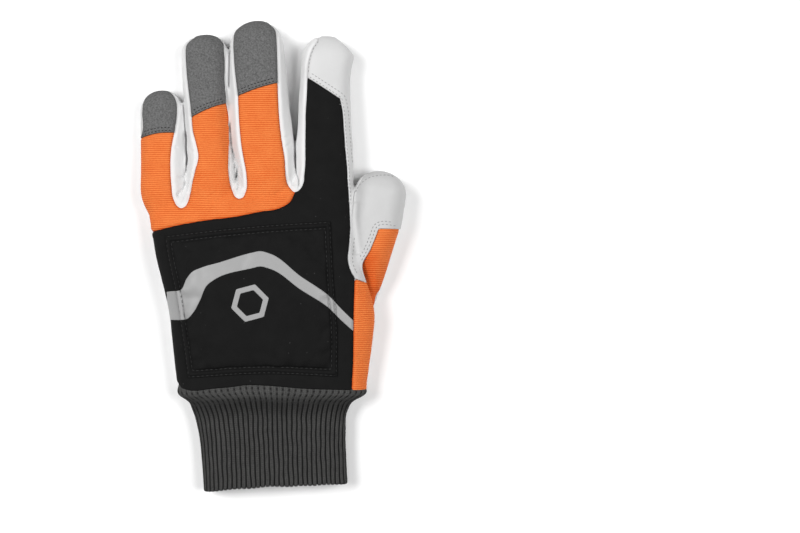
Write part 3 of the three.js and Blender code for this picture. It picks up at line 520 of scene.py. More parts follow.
SLANT_AT, SLANT_WAY, SLANT_SHARE = (42.6, 201.8), np.array([0.7006, 0.714]), 0.75
# Soft dents and folds: line, depth, width
FOLDS = [
    ([(-49.2, 139.5), (-46.6, 138.6)], 0.4, 0.7),
    ([(-40.5, 138.2), (-37.5, 136)], 0.4, 0.7),
    ([(-11.3, 128.5), (-10.6, 121)], 0.4, 0.9),
    ([(18.9, 121), (18.6, 116.5)], 0.5, 0.8),
    ([(12.6, 143.5), (17.5, 145)], 0.35, 0.8),
    ([(14.2, 138.5), (18.3, 141)], 0.35, 0.8),
    ([(23.5, 133.5), (25.6, 131.5)], 0.4, 0.6),
    ([(53.2, 108), (53.6, 98), (55.0, 87), (56, 77)], 1.3, 2.6),
    ([(-36, 10.5), (-20, 13.5), (0, 14.5), (20, 13.8), (40, 12.5)], 0.7, 2.2),
    ([(-52, 118), (-46, 104), (-34, 99)], 0.35, 3.5),
    ([(-28, 112), (-20, 102), (-6, 103)], 0.35, 3.5),
    ([(-4, 118), (6, 109), (14, 112)], 0.35, 3.5),
]
# Sharp creases, pressed straight down: line, depth, width
CREASES = [
    ([(-44.9, 169), (-43.8, 157.5), (-43.1, 148.9), (-42.7, 144.2), (-42.7, 138), (-42.1, 132.8),
      (-42.4, 128.1), (-42.6, 123.8)], 1.8, 0.42),
    ([(-43.1, 148.9), (-42.7, 144.2), (-42.7, 138), (-42.1, 132.8), (-42.4, 128.1)], 3.6, 0.5),
    ([(-42.5, 124.4), (-44.2, 122.6), (-47.6, 121.5)], 0.9, 0.5),
    ([(-42.8, 120.9), (-44.3, 115.3), (-46.6, 112.5), (-46.9, 109.1)], 1.2, 0.6),
    ([(-44.3, 116.2), (-43.6, 108.5)], 0.45, 0.6),
    ([(-17.8, 196), (-18.0, 184), (-18.2, 172)], 2.2, 0.6),
    ([(-17.6, 153), (-17.2, 148), (-16.8, 140.5)], 1.6, 0.4),
    ([(-17.2, 143.5), (-16.6, 139), (-14.9, 134), (-13.0, 127.9), (-13.6, 123.6), (-14.5, 120)], 1.3, 0.4),
    ([(-13.2, 127.5), (-13.7, 121.4)], 1.0, 0.4),
    ([(-13.5, 124.4), (-12.6, 118.9), (-13.1, 112.8)], 0.9, 0.4),
    ([(19.3, 146), (19.7, 138.5), (19.9, 130), (20.1, 126.5)], 5.0, 0.42),
    ([(20, 130), (20.4, 125.3), (22.1, 120), (22.05, 114.9)], 1.5, 0.42),
]
FOLD_EDGE, CREASE_EDGE = 1.0, 2.2  # how long they take to ease in at their ends
# The heights between which each comes in above the palm's side
SOFT_FADE, UNEVEN_FADE, FOLD_FADE, CREASE_FADE = (4, 7), (0, 3), (3.6, 9.6), (5.1, 8.1)
UNEVEN = [(0.3, 24.0, 0.0), (0.12, 8.0, 7.0)]  # the form's slight waves: height, size, seed
FORM_ROUNDS, VALLEY_ROUNDS, CREASE_ROUNDS = 14, 70, 10  # of smoothing
VALLEY_WIDTH, ROOT_WIDTH, CREASE_ZONE = 3.2, 4.5, 4.0  # round the webs, the thumb's root and the creases
WEB_REACH = 8.0  # how far from a web a crease may lie
CREASE_REACHES = (1.3, 0.8)  # how near a crease the mesh is made finer, once and once more


def section(row, turn, boxiness, share=1):
    """Across and height of points at turns round a section with a row's left, right, top and lift."""
    left, right, top, lift = np.transpose(row)
    run, rise = (share * np.sign(way) * np.abs(way) ** (2 / boxiness) for way in (np.cos(turn), np.sin(turn)))
    widest = lift + (top - lift) * MIDDLE_PLANE
    across = run * np.where(run > 0, right, -left)
    up = rise * np.where(rise > 0, top - widest, widest - lift + SINK)
    return across, np.maximum(widest + up, lift)


def turns(sides):
    """Angles round a section, half a step off its middle plane."""
    return 2 * math.pi * (np.arange(sides) + 0.5) / sides


def palm_rings():
    scale = [PALM_WIDTH, PALM_WIDTH, PALM_THICKNESS, PALM_THICKNESS]
    stations = np.linspace(PALM_ROWS[0][0], PALM_ROWS[-1][0], PALM_STATIONS)
    rings = []
    for at, row in zip(stations, hermite(PALM_ROWS, stations) * scale):
        across, height = section(row, turns(PALM_SIDES), PALM_BOXINESS)
        along = at * PALM_LENGTH + max(at - 0.5, 0) * 2 * KNUCKLE_SLOPE * across
        rings.append(np.column_stack([across, along, height]))
    return rings


def finger_rings(finger):
    tip = finger["tip"] * finger["width"] / finger["length"]
    rounding = np.radians(np.linspace(0, 88, TIP_STATIONS))
    body = np.linspace(finger["rows"][0][0], 1 - tip, FINGER_STATIONS + 1)[:-1]
    stations = np.concatenate([body, 1 - tip + tip * np.sin(rounding)])
    shares = np.concatenate([np.ones(len(body)), np.cos(rounding)])
    scale = [finger["width"], finger["width"], finger["thickness"], finger["thickness"]]
    rings = []
    for at, share, row in zip(stations, shares, hermite(finger["rows"], stations) * scale):
        across, height = section(row, turns(FINGER_SIDES), FINGER_BOXINESS, share)
        x, y = on_finger(finger, at, across / finger["width"])
        rings.append(np.column_stack([x, y, height]))
    return rings


def web_rings(path):
    path = np.array(path, float)
    across, share, more = np.transpose(WEB_BAR)
    return [np.column_stack([x + across * dy, y - across * dx, share * top + more])
            for (x, y, top), (dx, dy) in zip(path, ways_of(path[:, :2]))]


def loft_faces(count, sides, start=0):
    """The faces of a closed loft of rings, whose points are numbered from a start."""
    faces = []
    for r in range(count - 1):
        for k in range(sides):
            a, b = start + r * sides + k, start + r * sides + (k + 1) % sides
            faces.append((a, a + sides, b + sides, b))
    faces.append([start + k for k in range(sides)])
    faces.append([start + (count - 1) * sides + k for k in reversed(range(sides))])
    return faces


def fused(lofts):
    """The union of the lofts, remeshed evenly."""
    points, faces = [], []
    for rings in lofts:
        faces += loft_faces(len(rings), len(rings[0]), sum(len(p) for p in points))
        points += rings
    form = mesh_object("form", np.vstack(points).tolist(), faces)
    remesh = form.modifiers.new("even", "REMESH")
    remesh.mode, remesh.voxel_size = "VOXEL", VOXEL
    return taken(form)


def web_near(points):
    """Distance in plan to the nearest web between two fingers."""
    return np.min([beside(points, np.array(path)[:, :2])[0] for path in WEBS], axis=0)


def finer_at_creases(points, faces):
    creases = tree_of([(*spot, 0) for line, _, _ in CREASES for spot in smooth(line, 0.4)])
    for reach in CREASE_REACHES:
        centres = points[faces].mean(axis=1)
        zone = np.flatnonzero((centres[:, 2] > SOFT_FADE[0]) & (web_near(centres) < WEB_REACH))
        chosen = [k for k in zone if creases.find((*centres[k, :2], 0))[2] < reach]
        points, faces = refined(points, faces, chosen)
    return points, faces


def softened(points, faces, times, share):
    """The points relaxed by a share, and not at all low on the sides."""
    share = share * ramp(points[:, 2], *SOFT_FADE)
    return points + share[:, None] * (relaxed(points, faces, times) - points)


def hand_form():
    """Points, faces and normals of the whole hand, with its folds and creases."""
    fingers = map(finger_rings, (LITTLE, RING, MIDDLE, INDEX, THUMB))
    points, faces = fused([palm_rings(), *fingers, *map(web_rings, WEBS)])
    points = relaxed(points, faces, FORM_ROUNDS, 0.9)
    valleys = bell(web_near(points), VALLEY_WIDTH) + bell(beside(points, THUMB_ROOT)[0], ROOT_WIDTH)
    points = softened(points, faces, VALLEY_ROUNDS, np.minimum(valleys, 1))
    # The index finger's tip is flattened slantwise.
    past = np.maximum((points[:, :2] - SLANT_AT) @ SLANT_WAY, 0)
    points[:, :2] -= SLANT_SHARE * past[:, None] * SLANT_WAY
    points, faces = finer_at_creases(points, faces)
    points = softened(points, faces, CREASE_ROUNDS, bell(web_near(points), CREASE_ZONE))
    lift = sum(height * soft_noise(points, size, seed) for height, size, seed in UNEVEN)
    lift -= ramp(points[:, 2], *FOLD_FADE) * pressed(points, FOLDS, FOLD_EDGE)
    lift *= ramp(points[:, 2], *UNEVEN_FADE)
    points = points + soft_normals(points, faces, 6) * lift[:, None]
    points[:, 2] -= ramp(points[:, 2], *CREASE_FADE) * pressed(points, CREASES, CREASE_EDGE)
    points[:, 2] = np.maximum(points[:, 2], 0)
    return points, faces, soft_normals(points, faces, 3)


# The form is cut into the pieces that are sewn together

# Pairs whose first piece lies on the second, and pairs that meet flat. Any others are sewn edge to edge.
OVER = [("tip_cap_little", "knuckle_panel"), ("tip_cap_ring", "knuckle_panel"),
        ("tip_cap_middle", "knuckle_panel"), ("index_wrap", "back_panel"), ("thumb_leather", "back_panel"),
        ("thumb_leather", "thumb_back"), ("thumb_leather", "wrist_gusset")]
FLAT = [("thumb_back", "wrist_gusset"), ("saw_pad", "back_panel"), ("index_wrap", "thumb_leather")]


def line_at(table, width, x):
    """Height in y of the wrist seam or cuff mouth at x."""
    rows = np.array(table)
    return -CUFF_LENGTH * hermite(np.column_stack([rows[:, 0] * width, rows[:, 1]]), x)[:, 0]


def cut_up(points, faces, normals):
    """Rows of points with normals, faces cut along the seams, and the number of each face's piece."""
    skin = np.column_stack([points, normals])
    skin, faces, level = split(skin, faces, skin[:, 1] - line_at(WRIST_LINE, WRIST_WIDTH, skin[:, 0]))
    skin, faces = only(skin, faces[level[faces].mean(axis=1) > 0])
    skin, faces, _ = split(skin, faces, skin[:, 2] - SEAM_HEIGHT)
    for outline in outlines.values():
        level = np.where(skin[:, 2] > SEAM_HEIGHT - 1, inside(skin, outline), -REACH)
        skin, faces, _ = split(skin, faces, level)
    centres = skin[faces].mean(axis=1)
    free = centres[:, 2] > SEAM_HEIGHT
    owner = np.zeros(len(faces), int)
    for name, outline in outlines.items():
        mine = free & (inside(centres, outline) > 0)
        owner[mine] = names.index(name)
        free &= ~mine
    for name, (left, right, foot) in STRIPS.items():
        ends = [on_finger(finger, at, 0) for finger, at in
                ((left, 0), (left, BEYOND), (right, BEYOND), (right, 0))]
        zone = np.vstack([ends, on_hand(foot[len(foot) // 2]) - [0, 4]])
        owner[free & (inside(centres, zone) > 0)] = names.index(name)
    return skin, faces, owner


def borders_of(faces, owner):
    """The sides of faces along the pieces' borders: two ends, the piece, and the next one or -1."""
    edges, mine = np.sort(sides_of(faces), axis=1), np.tile(owner, 3)
    order = np.lexsort((edges[:, 1], edges[:, 0]))
    edges, mine = edges[order], mine[order]
    same = (edges[:-1] == edges[1:]).all(axis=1)
    other = np.full(len(edges), -1)
    other[:-1][same] = mine[1:][same]
    other[1:][same] = mine[:-1][same]
    return np.column_stack([edges, mine, other])[other != mine]


def style(mine, other):
    """The kind of edge that a piece has beside another."""
    if other < 0:
        return "hem"
    pair = (names[mine], names[other])
    if pair in OVER:
        return "over"
    if pair[::-1] in OVER:
        return "under"
    return "flat" if pair in FLAT or pair[::-1] in FLAT else "sewn"


skin, faces, owner = cut_up(*hand_form())
borders = borders_of(faces, owner)

# The saw pad's cover and relief

COVER_COLUMNS, COVER_ROWS = 47, 42
COVER_SIDE, COVER_END = 0.036, 0.047  # shares of the pad outside its inner row of stitches
COVER_FRAMES, COVER_PRESSURE, COVER_SLACK, COVER_UNEVEN = 20, 4.0, 0.035, 0.25
PAD_STRETCH = 1.3  # the pad's border is narrower at its sides than at its ends
# The stitched grooves and the roll between them: how far in from the edge, width, height
PAD_WAVES = [(0.75, 0.45, -0.55), (2.4, 0.95, 0.8), (4.1, 0.75, -0.85)]
PAD_LOOPS = (0.75, 1.5, 3.3, 4.1, 4.9)  # how far in the pad's mesh has a line of edges
PAD_STEP, PANEL_DIP = 0.8, 0.4  # how far the pad's edge stands up, and the panel beside it goes down


def part_way(line, share):
    """The point at a share of the way through a line's points."""
    where = share * (len(line) - 1)
    return np.array([np.interp(where, np.arange(len(line)), column) for column in line.T])


def blown_cover():
    """The cover of the pad, as a tree, blown up as cloth that is held at its inner row of stitches."""
    spots = []
    for share in np.linspace(COVER_END, 1 - COVER_END, COVER_ROWS):
        a, b = part_way(pad_sides[3], share), part_way(pad_sides[1][::-1], share)
        spots += [a + s * (b - a) for s in np.linspace(COVER_SIDE, 1 - COVER_SIDE, COVER_COLUMNS)]
    uneven = [COVER_UNEVEN * noise.noise(Vector((x, y, 0)) / 7) for x, y in spots]
    sheet = [(x / 1000, y / 1000, z / 1000) for (x, y), z in zip(spots, uneven)]
    grid = np.arange(len(spots)).reshape(COVER_ROWS, COVER_COLUMNS)
    corners = (grid[:-1, :-1], grid[:-1, 1:], grid[1:, 1:], grid[1:, :-1])
    cover = mesh_object("cover", sheet, np.stack(corners, axis=-1).reshape(-1, 4).tolist())
    rim = set(grid.ravel().tolist()) - set(grid[1:-1, 1:-1].ravel().tolist())
    cover.vertex_groups.new(name="held").add(sorted(rim), 1.0, "REPLACE")
    cloth = cover.modifiers.new("cloth", "CLOTH").settings
    cloth.vertex_group_mass = "held"
    cloth.use_pressure, cloth.uniform_pressure_force = True, COVER_PRESSURE
    cloth.shrink_min = -COVER_SLACK
    cloth.bending_stiffness = 0.3
    cloth.effector_weights.gravity = 0
    cover.modifiers.new("finer", "SUBSURF").levels = 1
    for step in range(COVER_FRAMES):
        scene.frame_set(step + 1)
    blown, faces = taken(cover)
    scene.frame_set(1)
    return BVHTree.FromPolygons((blown * 1000).tolist(), faces.tolist())


cover_tree = blown_cover()


def pad_depth(points):
    """How far inside the pad's edge points are, counting more where the border is narrower."""
    return inside(points[:, :2] * [PAD_STRETCH, 1], outlines["saw_pad"] * [PAD_STRETCH, 1])


def pad_relief(points):
    """How far the pad stands up, with its rolled border and two stitched grooves."""
    depth = pad_depth(points)
    wavy = depth + 0.5 * soft_noise(points[:, :3], 9.0, 3.0) * ramp(depth, 1.5, 2.5)
    waves = sum(height * bell(wavy - at, width) for at, width, height in PAD_WAVES)
    blown = np.zeros(len(points))
    for k in np.flatnonzero(depth > PAD_BORDER):
        hit = cover_tree.ray_cast(Vector((*points[k, :2], 50)), Vector((0, 0, -1)))[0]
        blown[k] = hit.z if hit else 0.0
    cover = PAD_RISE * np.tanh(np.maximum(blown, -0.3) / PAD_RISE)
    return PAD_STEP * ramp(depth, 0, 0.3) + waves + cover


# The pieces' edges

EDGE_LOOPS = (0.35, 0.9)  # how far in from its border a piece's mesh has a line of edges
SEWN_DIP, SEWN_SWELL, LAP, GIVE, HEM, TURNED = 0.75, 0.14, 0.75, 0.3, 0.4, 0.2
THUMB_TUCK = [(58.6, 73.5), (58.8, 70), (60.6, 61.4), (62.4, 55.7), (65.4, 46.2)]
TUCK_DIP, TUCK_EDGE = 3.0, 0.5  # how far the thumb's back goes down, and the gusset's edge up


def near(points, targets):
    """Distance of each point to the nearest target."""
    if not len(targets):
        return np.full(len(points), 99.0)
    tree = tree_of(targets)
    return np.array([tree.find(p)[2] for p in points])


def edge_rise(sewn, over, under, hem):
    """How far a piece stands up, from its distances to the edges of each kind."""
    # A sewn edge goes down into its seam, and the cloth swells a little beside it.
    rise = -SEWN_DIP * bell(sewn, 0.8) + SEWN_SWELL * bell(sewn - 2.2, 1.2)
    # A lapped edge stands on the next piece, which gives way a little, and a hem is turned in.
    rise += LAP * ramp(over, 0, 0.35) ** 0.5 * bell(over, 9) * ramp(sewn, 0, 2)
    rise -= GIVE * bell(under, 0.7)
    return rise + HEM * ramp(hem, 0, 0.4) ** 0.5 * bell(hem, 4) - TURNED * bell(hem, 0.5)


def sewn_piece(name):
    """The piece's points, faces and normals with its edges shaped, and how much painted shade each point gets
    beside its sewn seams and near the thumb's tuck.
    """
    number = names.index(name)
    piece, own = only(skin, faces[owner == number])
    lines = {"sewn": [], "over": [], "under": [], "hem": [], "flat": []}
    for a, b, mine, other in borders[borders[:, 2] == number]:
        lines[style(mine, other)] += [skin[a, :3], (skin[a, :3] + skin[b, :3]) / 2]
    every = [spot for group in lines.values() for spot in group]
    for depth in EDGE_LOOPS:
        piece, own, _ = split(piece, own, near(piece[:, :3], every) - depth, 0.02)
    for depth in PAD_LOOPS if name == "saw_pad" else ():
        piece, own, _ = split(piece, own, pad_depth(piece) - depth, 0.03)
    away = {kind: near(piece[:, :3], lines[kind]) for kind in ("sewn", "over", "under", "hem")}
    # Painted shade beside the sewn seams, where their contact shadow falls; only the orange material uses it.
    rise, seam_and_fold_shade = edge_rise(**away), bell(away["sewn"], 0.55)
    # The back of the thumb goes down behind the gusset's edge.
    behind = ramp(piece[:, 1], 50, 56) * ramp(piece[:, 1], 76, 67)
    tuck = beside(piece, THUMB_TUCK)[0]
    if name == "saw_pad":
        rise += pad_relief(piece)
    elif name == "back_panel":
        rise -= PANEL_DIP * bell(pad_depth(piece), 2)
    elif name == "thumb_back":
        rise -= TUCK_DIP * behind * ramp(tuck, 5.8, 0)
        # More painted shade on the thumb's back near the tuck, where it goes down behind the gusset.
        seam_and_fold_shade = np.maximum(seam_and_fold_shade, bell(tuck, 7.5))
    elif name == "wrist_gusset":
        rise += TUCK_EDGE * behind * bell(tuck, 2.5)
    moved = piece[:, :3] + piece[:, 3:] * rise[:, None]
    moved[:, 2] = np.maximum(moved[:, 2], 0)
    return moved, own, normals_of(moved, own), seam_and_fold_shade


sewn = {name: sewn_piece(name) for name in names}

# Materials


def operator(operation):
    """An operator that adds a Math node, and its reflected form."""
    return (lambda self, other: self.maths(operation, self, other),
            lambda self, other: self.maths(operation, other, self))


class Value:
    """A number that varies over a surface. Arithmetic on it adds Math nodes."""

    def __init__(self, tree, socket):
        self.tree, self.socket = tree, socket

    def maths(self, operation, *values):
        node = self.tree.nodes.new("ShaderNodeMath")
        node.operation = operation
        for socket, value in zip(node.inputs, values):
            plug(self.tree, socket, value)
        return Value(self.tree, node.outputs[0])

    __add__, __radd__ = operator("ADD")
    __sub__, __rsub__ = operator("SUBTRACT")
    __mul__, __rmul__ = operator("MULTIPLY")
    __truediv__, __rtruediv__ = operator("DIVIDE")
    __gt__, __lt__ = operator("GREATER_THAN")

    def wave(self):
        """From -1 to 1 and back each time the value grows by 1."""
        return self.maths("SINE", self * (2 * math.pi))

    def fraction(self):
        return self.maths("FRACT", self)

    def size(self):
        return self.maths("ABSOLUTE", self)

    def within(self):
        """The value kept from 0 to 1."""
        return self.maths("MINIMUM", self.maths("MAXIMUM", self, 0.0), 1.0)


def plug(tree, socket, value):
    if isinstance(value, Value):
        tree.links.new(value.socket, socket)
    elif isinstance(value, bpy.types.NodeSocket):
        tree.links.new(value, socket)
    else:
        socket.default_value = value


def colour(red, green, blue):
    """A linear colour from one read on screen."""
    linear = [c / 12.92 if c < 0.0404 else ((c + 0.055) / 1.055) ** 2.4
              for c in (red / 255, green / 255, blue / 255)]
    return (*linear, 1)


def grey(level):
    return colour(level, level, level)


class Look:
    """A material with its nodes."""

    def __init__(self, name, base, roughness, specular):
        self.material = bpy.data.materials.new(name)
        self.material.use_nodes = True
        self.tree = self.material.node_tree
        self.set("Base Color", base)
        self.set("Roughness", roughness)
        self.set("Specular IOR Level", specular)

    def set(self, socket, value):
        plug(self.tree, self.tree.nodes["Principled BSDF"].inputs[socket], value)

    def node(self, kind, settings, values):
        node = self.tree.nodes.new(kind)
        for setting, value in settings.items():
            setattr(node, setting, value)
        for socket, value in values.items():
            plug(self.tree, node.inputs[socket], value)
        return node

    def value(self, node, output):
        return Value(self.tree, node.outputs[output])

    def place(self, size):
        """The point in millimetres, divided by a size."""
        there = self.node("ShaderNodeTexCoord", {}, {}).outputs["Object"]
        scale = (1000 / size, 1000 / size, 1000 / size)
        return self.node("ShaderNodeVectorMath", {"operation": "MULTIPLY"}, {0: there, 1: scale}).outputs[0]

    def axis(self, name):
        return self.value(self.node("ShaderNodeSeparateXYZ", {}, {0: self.place(1)}), name)

    def noise(self, size, detail=2.0, rough=0.5):
        inputs = {"Vector": self.place(size), "Scale": 1.0, "Detail": detail, "Roughness": rough}
        return self.value(self.node("ShaderNodeTexNoise", {}, inputs), 0)

    def cells(self, size, feature):
        """A node of cells about a size across."""
        inputs = {"Vector": self.place(size), "Scale": 1.0}
        return self.node("ShaderNodeTexVoronoi", {"feature": feature}, inputs)

    def attribute(self, name):
        return self.value(self.node("ShaderNodeAttribute", {"attribute_name": name}, {}), "Fac")

    def mix(self, factor, low, high):
        settings = {"data_type": "RGBA", "blend_type": "MIX"}
        return self.node("ShaderNodeMix", settings, {0: factor, 6: low, 7: high}).outputs[2]

    def bump(self, height):
        """Relief of a height in millimetres."""
        node = self.node("ShaderNodeBump", {}, {"Strength": 1.0, "Distance": 0.001, "Height": height})
        self.set("Normal", node.outputs[0])


def leather(name, level):
    look = Look(name, grey(level), 0.5, 0.2)
    grain = look.value(look.cells(0.7, "SMOOTH_F1"), "Distance")
    look.bump(grain * 0.03 + look.noise(2.6, 3.0) * 0.16 + look.noise(9.0) * 0.5)
    look.set("Base Color", look.mix(look.noise(14.0, 3.0), grey(level - 5), grey(level + 4)))
    return look.material


def stretch():
    look = Look("orange_stretch", colour(240, 128, 62), 0.85, 0.12)
    along = look.axis("Y") + look.noise(26.0) * 1.6 + look.noise(3.0) * 0.25
    line = (along / 1.2).wave()
    yarn = ((look.axis("X") + look.noise(4.0) * 0.5) / 0.62 + along / 2.4).wave()
    look.bump(line * 0.09 + yarn * 0.03 + look.noise(0.5) * 0.04)
    shade = line * 0.33 + yarn * 0.12 + look.noise(0.8) * 0.5 + look.noise(9.0) * 0.35 + 0.1
    # Painted shade: the orange is darker beside its seams and near the thumb's tuck.
    shade = (shade - look.attribute("seam_and_fold_shade") * 0.52).within()
    look.set("Base Color", look.mix(shade, colour(195, 75, 20), colour(232, 135, 72)))
    return look.material


def suede():
    look = Look("grey_suede", grey(110), 0.95, 0.08)
    nap = look.noise(1.0, 5.0, 0.7)
    look.set("Base Color", look.mix(((nap - 0.5) * 2.6 + 0.5).within(), grey(72), grey(113)))
    look.bump(nap * 0.12 + look.noise(6.0) * 0.3)
    return look.material


def fabric():
    look = Look("black_fabric", grey(27), 0.85, 0.12)
    weave = (look.axis("X") / 0.55).wave() * (look.axis("Y") / 0.55).wave()
    look.bump(weave * 0.02 + look.noise(0.4) * 0.04)
    # A speck of lint in the middle of some cells
    cell = look.cells(3.6, "F1")
    pick = look.value(look.node("ShaderNodeSeparateColor", {}, {0: cell.outputs["Color"]}), 0)
    speck = 0.045 - look.value(cell, "Distance") + look.noise(0.4) * 0.02 > 0.0
    lint = speck * (pick > 0.6) * 0.5 * pick
    cloth = look.mix(look.noise(7.0, 4.0), grey(14), grey(22))
    look.set("Base Color", look.mix(lint, cloth, grey(110)))
    return look.material


def film():
    look = Look("reflective_film", grey(182), 0.42, 0.3)
    look.set("Base Color", look.mix(look.noise(0.5, 3.0), grey(143), grey(152)))
    look.bump(look.noise(0.35) * 0.02 + look.noise(6.0) * 0.1)
    return look.material


def knit():
    look = Look("rib_knit", grey(66), 0.95, 0.1)
    rib, run, deep = look.attribute("rib"), look.attribute("run"), look.attribute("deep")
    slope = ((rib + 0.5).fraction() - 0.5).size()
    # Painted shade in the grooves between the ribs, weighted by how deep they are.
    groove = ((0.21 - slope) / 0.11).within() * deep
    loop = (run / 1.15 + slope * 1.3).wave()
    wale = (rib * 3).wave()
    fuzz = look.noise(0.6, 4.0, 0.7)
    look.bump(loop * 0.06 + wale * 0.04 + fuzz * 0.25)
    collar = ((COLLAR_END + 1 - run) / 2).within()
    shade = 0.43 + collar * 0.14 + (loop + wale) * 0.05 + (fuzz - 0.5) * 0.9 + (look.noise(5.0) - 0.5) * 0.25
    # Painted shade: the knit is darker in its grooves and in a band under the collar.
    shade = (shade * (1 - groove * 0.9) * (1 - look.attribute("waist_shade") * 0.45)).within()
    look.set("Base Color", look.mix(shade, grey(16), colour(90, 90, 89)))
    return look.material


def thread(name, level):
    look = Look(name, grey(level), 0.7, 0.2)
    look.bump(look.noise(0.3) * 0.05)
    return look.material


# The sewn pieces

# A piece's own look where it has one, or else its slot's
# One white leather in three tones: the side strips' copy is painted lighter, as painted light on their steep
# sides, and the thumb's copy is painted darker, as painted shade round the hook and thumb.
LOOKS = {"white_leather": leather("white_leather", 196), "thumb_leather": leather("thumb_leather", 186),
         **dict.fromkeys(STRIPS, leather("painted_light_strip_leather", 211)),
         "orange_stretch": stretch(), "grey_suede": suede(), "black_fabric": fabric(),
         "reflective_film": film(), "rib_knit": knit()}
SLOTS = {"white_leather": ("palm", "index_wrap", "thumb_leather", *STRIPS),
         "orange_stretch": ("knuckle_panel", "thumb_back", "wrist_gusset"),
         "grey_suede": ("tip_cap_little", "tip_cap_ring", "tip_cap_middle"),
         "black_fabric": ("back_panel", "saw_pad")}
KEPT = {"palm": 0.35, "knuckle_panel": 0.75, "back_panel": 0.75, "side_strip_little_ring": 0.7,
        "side_strip_ring_middle": 0.7, "saw_pad": 0.8}  # shares of the triangles that are kept
FILM_LIFT, FILM_WALL = 0.16, 0.12


def mesh_piece(name, points, faces, material, wall=0.0, kept=1.0, layers=None):
    piece = mesh_object(name, ((points + HAND) / 1000).tolist(), [tuple(face) for face in faces])
    piece.data.shade_smooth()
    for layer, values in (layers or {}).items():
        piece.data.attributes.new(layer, "FLOAT", "POINT").data.foreach_set("value", values)
    piece.data.materials.append(material)
    if kept < 1:
        piece.modifiers.new("fewer", "DECIMATE").ratio = kept
    if wall:
        solid = piece.modifiers.new("wall", "SOLIDIFY")
        solid.thickness, solid.offset, solid.use_even_offset = wall / 1000, -1, False
    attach(piece, "root")
    return piece


for name, (piece, own, _, seam_and_fold_shade) in sewn.items():
    slot = next(slot for slot, group in SLOTS.items() if name in group)
    look = LOOKS.get(name, LOOKS[slot])
    made = mesh_piece(name + "_cloth", piece, own, look, WALL, KEPT.get(name, 1.0), {"seam_and_fold_shade": seam_and_fold_shade})
    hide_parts(name)

# Reflective film, on the pad and on the panel beside it

upper, lower = (on_hand([(row[0], row[edge]) for row in STRIPE]) for edge in (1, 2))
stripe = np.vstack([smooth(upper, 0.8), smooth(lower, 0.8)[::-1]])


def hexagon(radius):
    turn = np.radians(BADGE_TURN + 60 * np.arange(6))
    return on_hand(BADGE) + radius * np.column_stack([np.cos(turn), np.sin(turn)])


def film_piece(name, base, shape):
    """A film on a sewn piece, where shape gives numbers above 0."""
    piece, own, normal, _ = sewn[base]
    piece, own, level = split(np.column_stack([piece, normal]), own, shape(piece), 0.02)
    piece, own = only(piece, own[level[own].mean(axis=1) > 0])
    made = mesh_piece(name + "_film", piece[:, :3] + FILM_LIFT * piece[:, 3:], own, LOOKS["reflective_film"],
                      FILM_WALL)
    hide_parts(name)


film_piece("stripe_pad", "saw_pad", lambda p: inside(p, stripe))
film_piece("stripe_little_side", "back_panel", lambda p: np.minimum(inside(p, stripe), -p[:, 0]))
film_piece("stripe_thumb_side", "back_panel", lambda p: np.minimum(inside(p, stripe), p[:, 0]))
film_piece("badge", "saw_pad", lambda p: np.minimum(
    inside(p, hexagon(BADGE_RADIUS)), -inside(p, hexagon(BADGE_RADIUS - BADGE_BAND))))

# The ribbed cuff: rows from inside the body to the mouth, round its edge and back in

COLUMNS, OUTER_ROWS, INNER_ROWS = RIBS * 8, 96, 16
AROUND = 720  # steps round the cuff's section
CUFF_START = 4.0  # how far above the wrist seam the cuff starts
MOUTH_ROLL = 1.2
RIB_WAVER, TUCK_DEPTH, MOUTH_WAVER = 0.4, 1.2, 0.5
COLLAR_ROWS = (5.4, 8.1, 10.8)  # how far down the collar's grooves show
WAIST_SHADE = -8.8  # where the cuff is drawn in under its collar, and the middle of a band of painted shade on its knit
MIDDLE_RIB = (-6.3, -2.2)  # where it starts, across, and how far it moves by the mouth, both turned round


def cuff_table():
    """The cuff's rows in millimetres: at, left, right, top, lift."""
    sizes = {1: (WRIST_WIDTH, WRIST_THICKNESS), 0: (CUFF_WIDTH, CUFF_THICKNESS)}
    return [(at, left * sizes[wrist][0], right * sizes[wrist][0], top * sizes[wrist][1], 0.0)
            for at, left, right, top, wrist in CUFF_ROWS]


def groove_depth(down):
    """How deep the grooves are at a distance down: in the collar, only in three rows of dots."""
    dots = 0.2 + 0.8 * max(bell(down - row, 0.8) for row in COLLAR_ROWS)
    return dots + ramp(down, COLLAR_END - 0.75, COLLAR_END + 0.75) * (1 - dots)


def cuff_rows():
    """For each row: its share of the way down, how far in it is, how deep its ribs are, how far past."""
    rows = [(t, 0.0, 1.0, 0.0) for t in np.linspace(0, 1, OUTER_ROWS) ** 0.92]
    rows += [(1, CUFF_WALL / 2 * (1 - math.cos(turn)), 0.9, MOUTH_ROLL * math.sin(turn))
             for turn in np.radians((30, 60, 90, 120, 150))]
    return rows + [(t, CUFF_WALL, 0.6, 0.0) for t in np.linspace(1, 0.3, INNER_ROWS)]


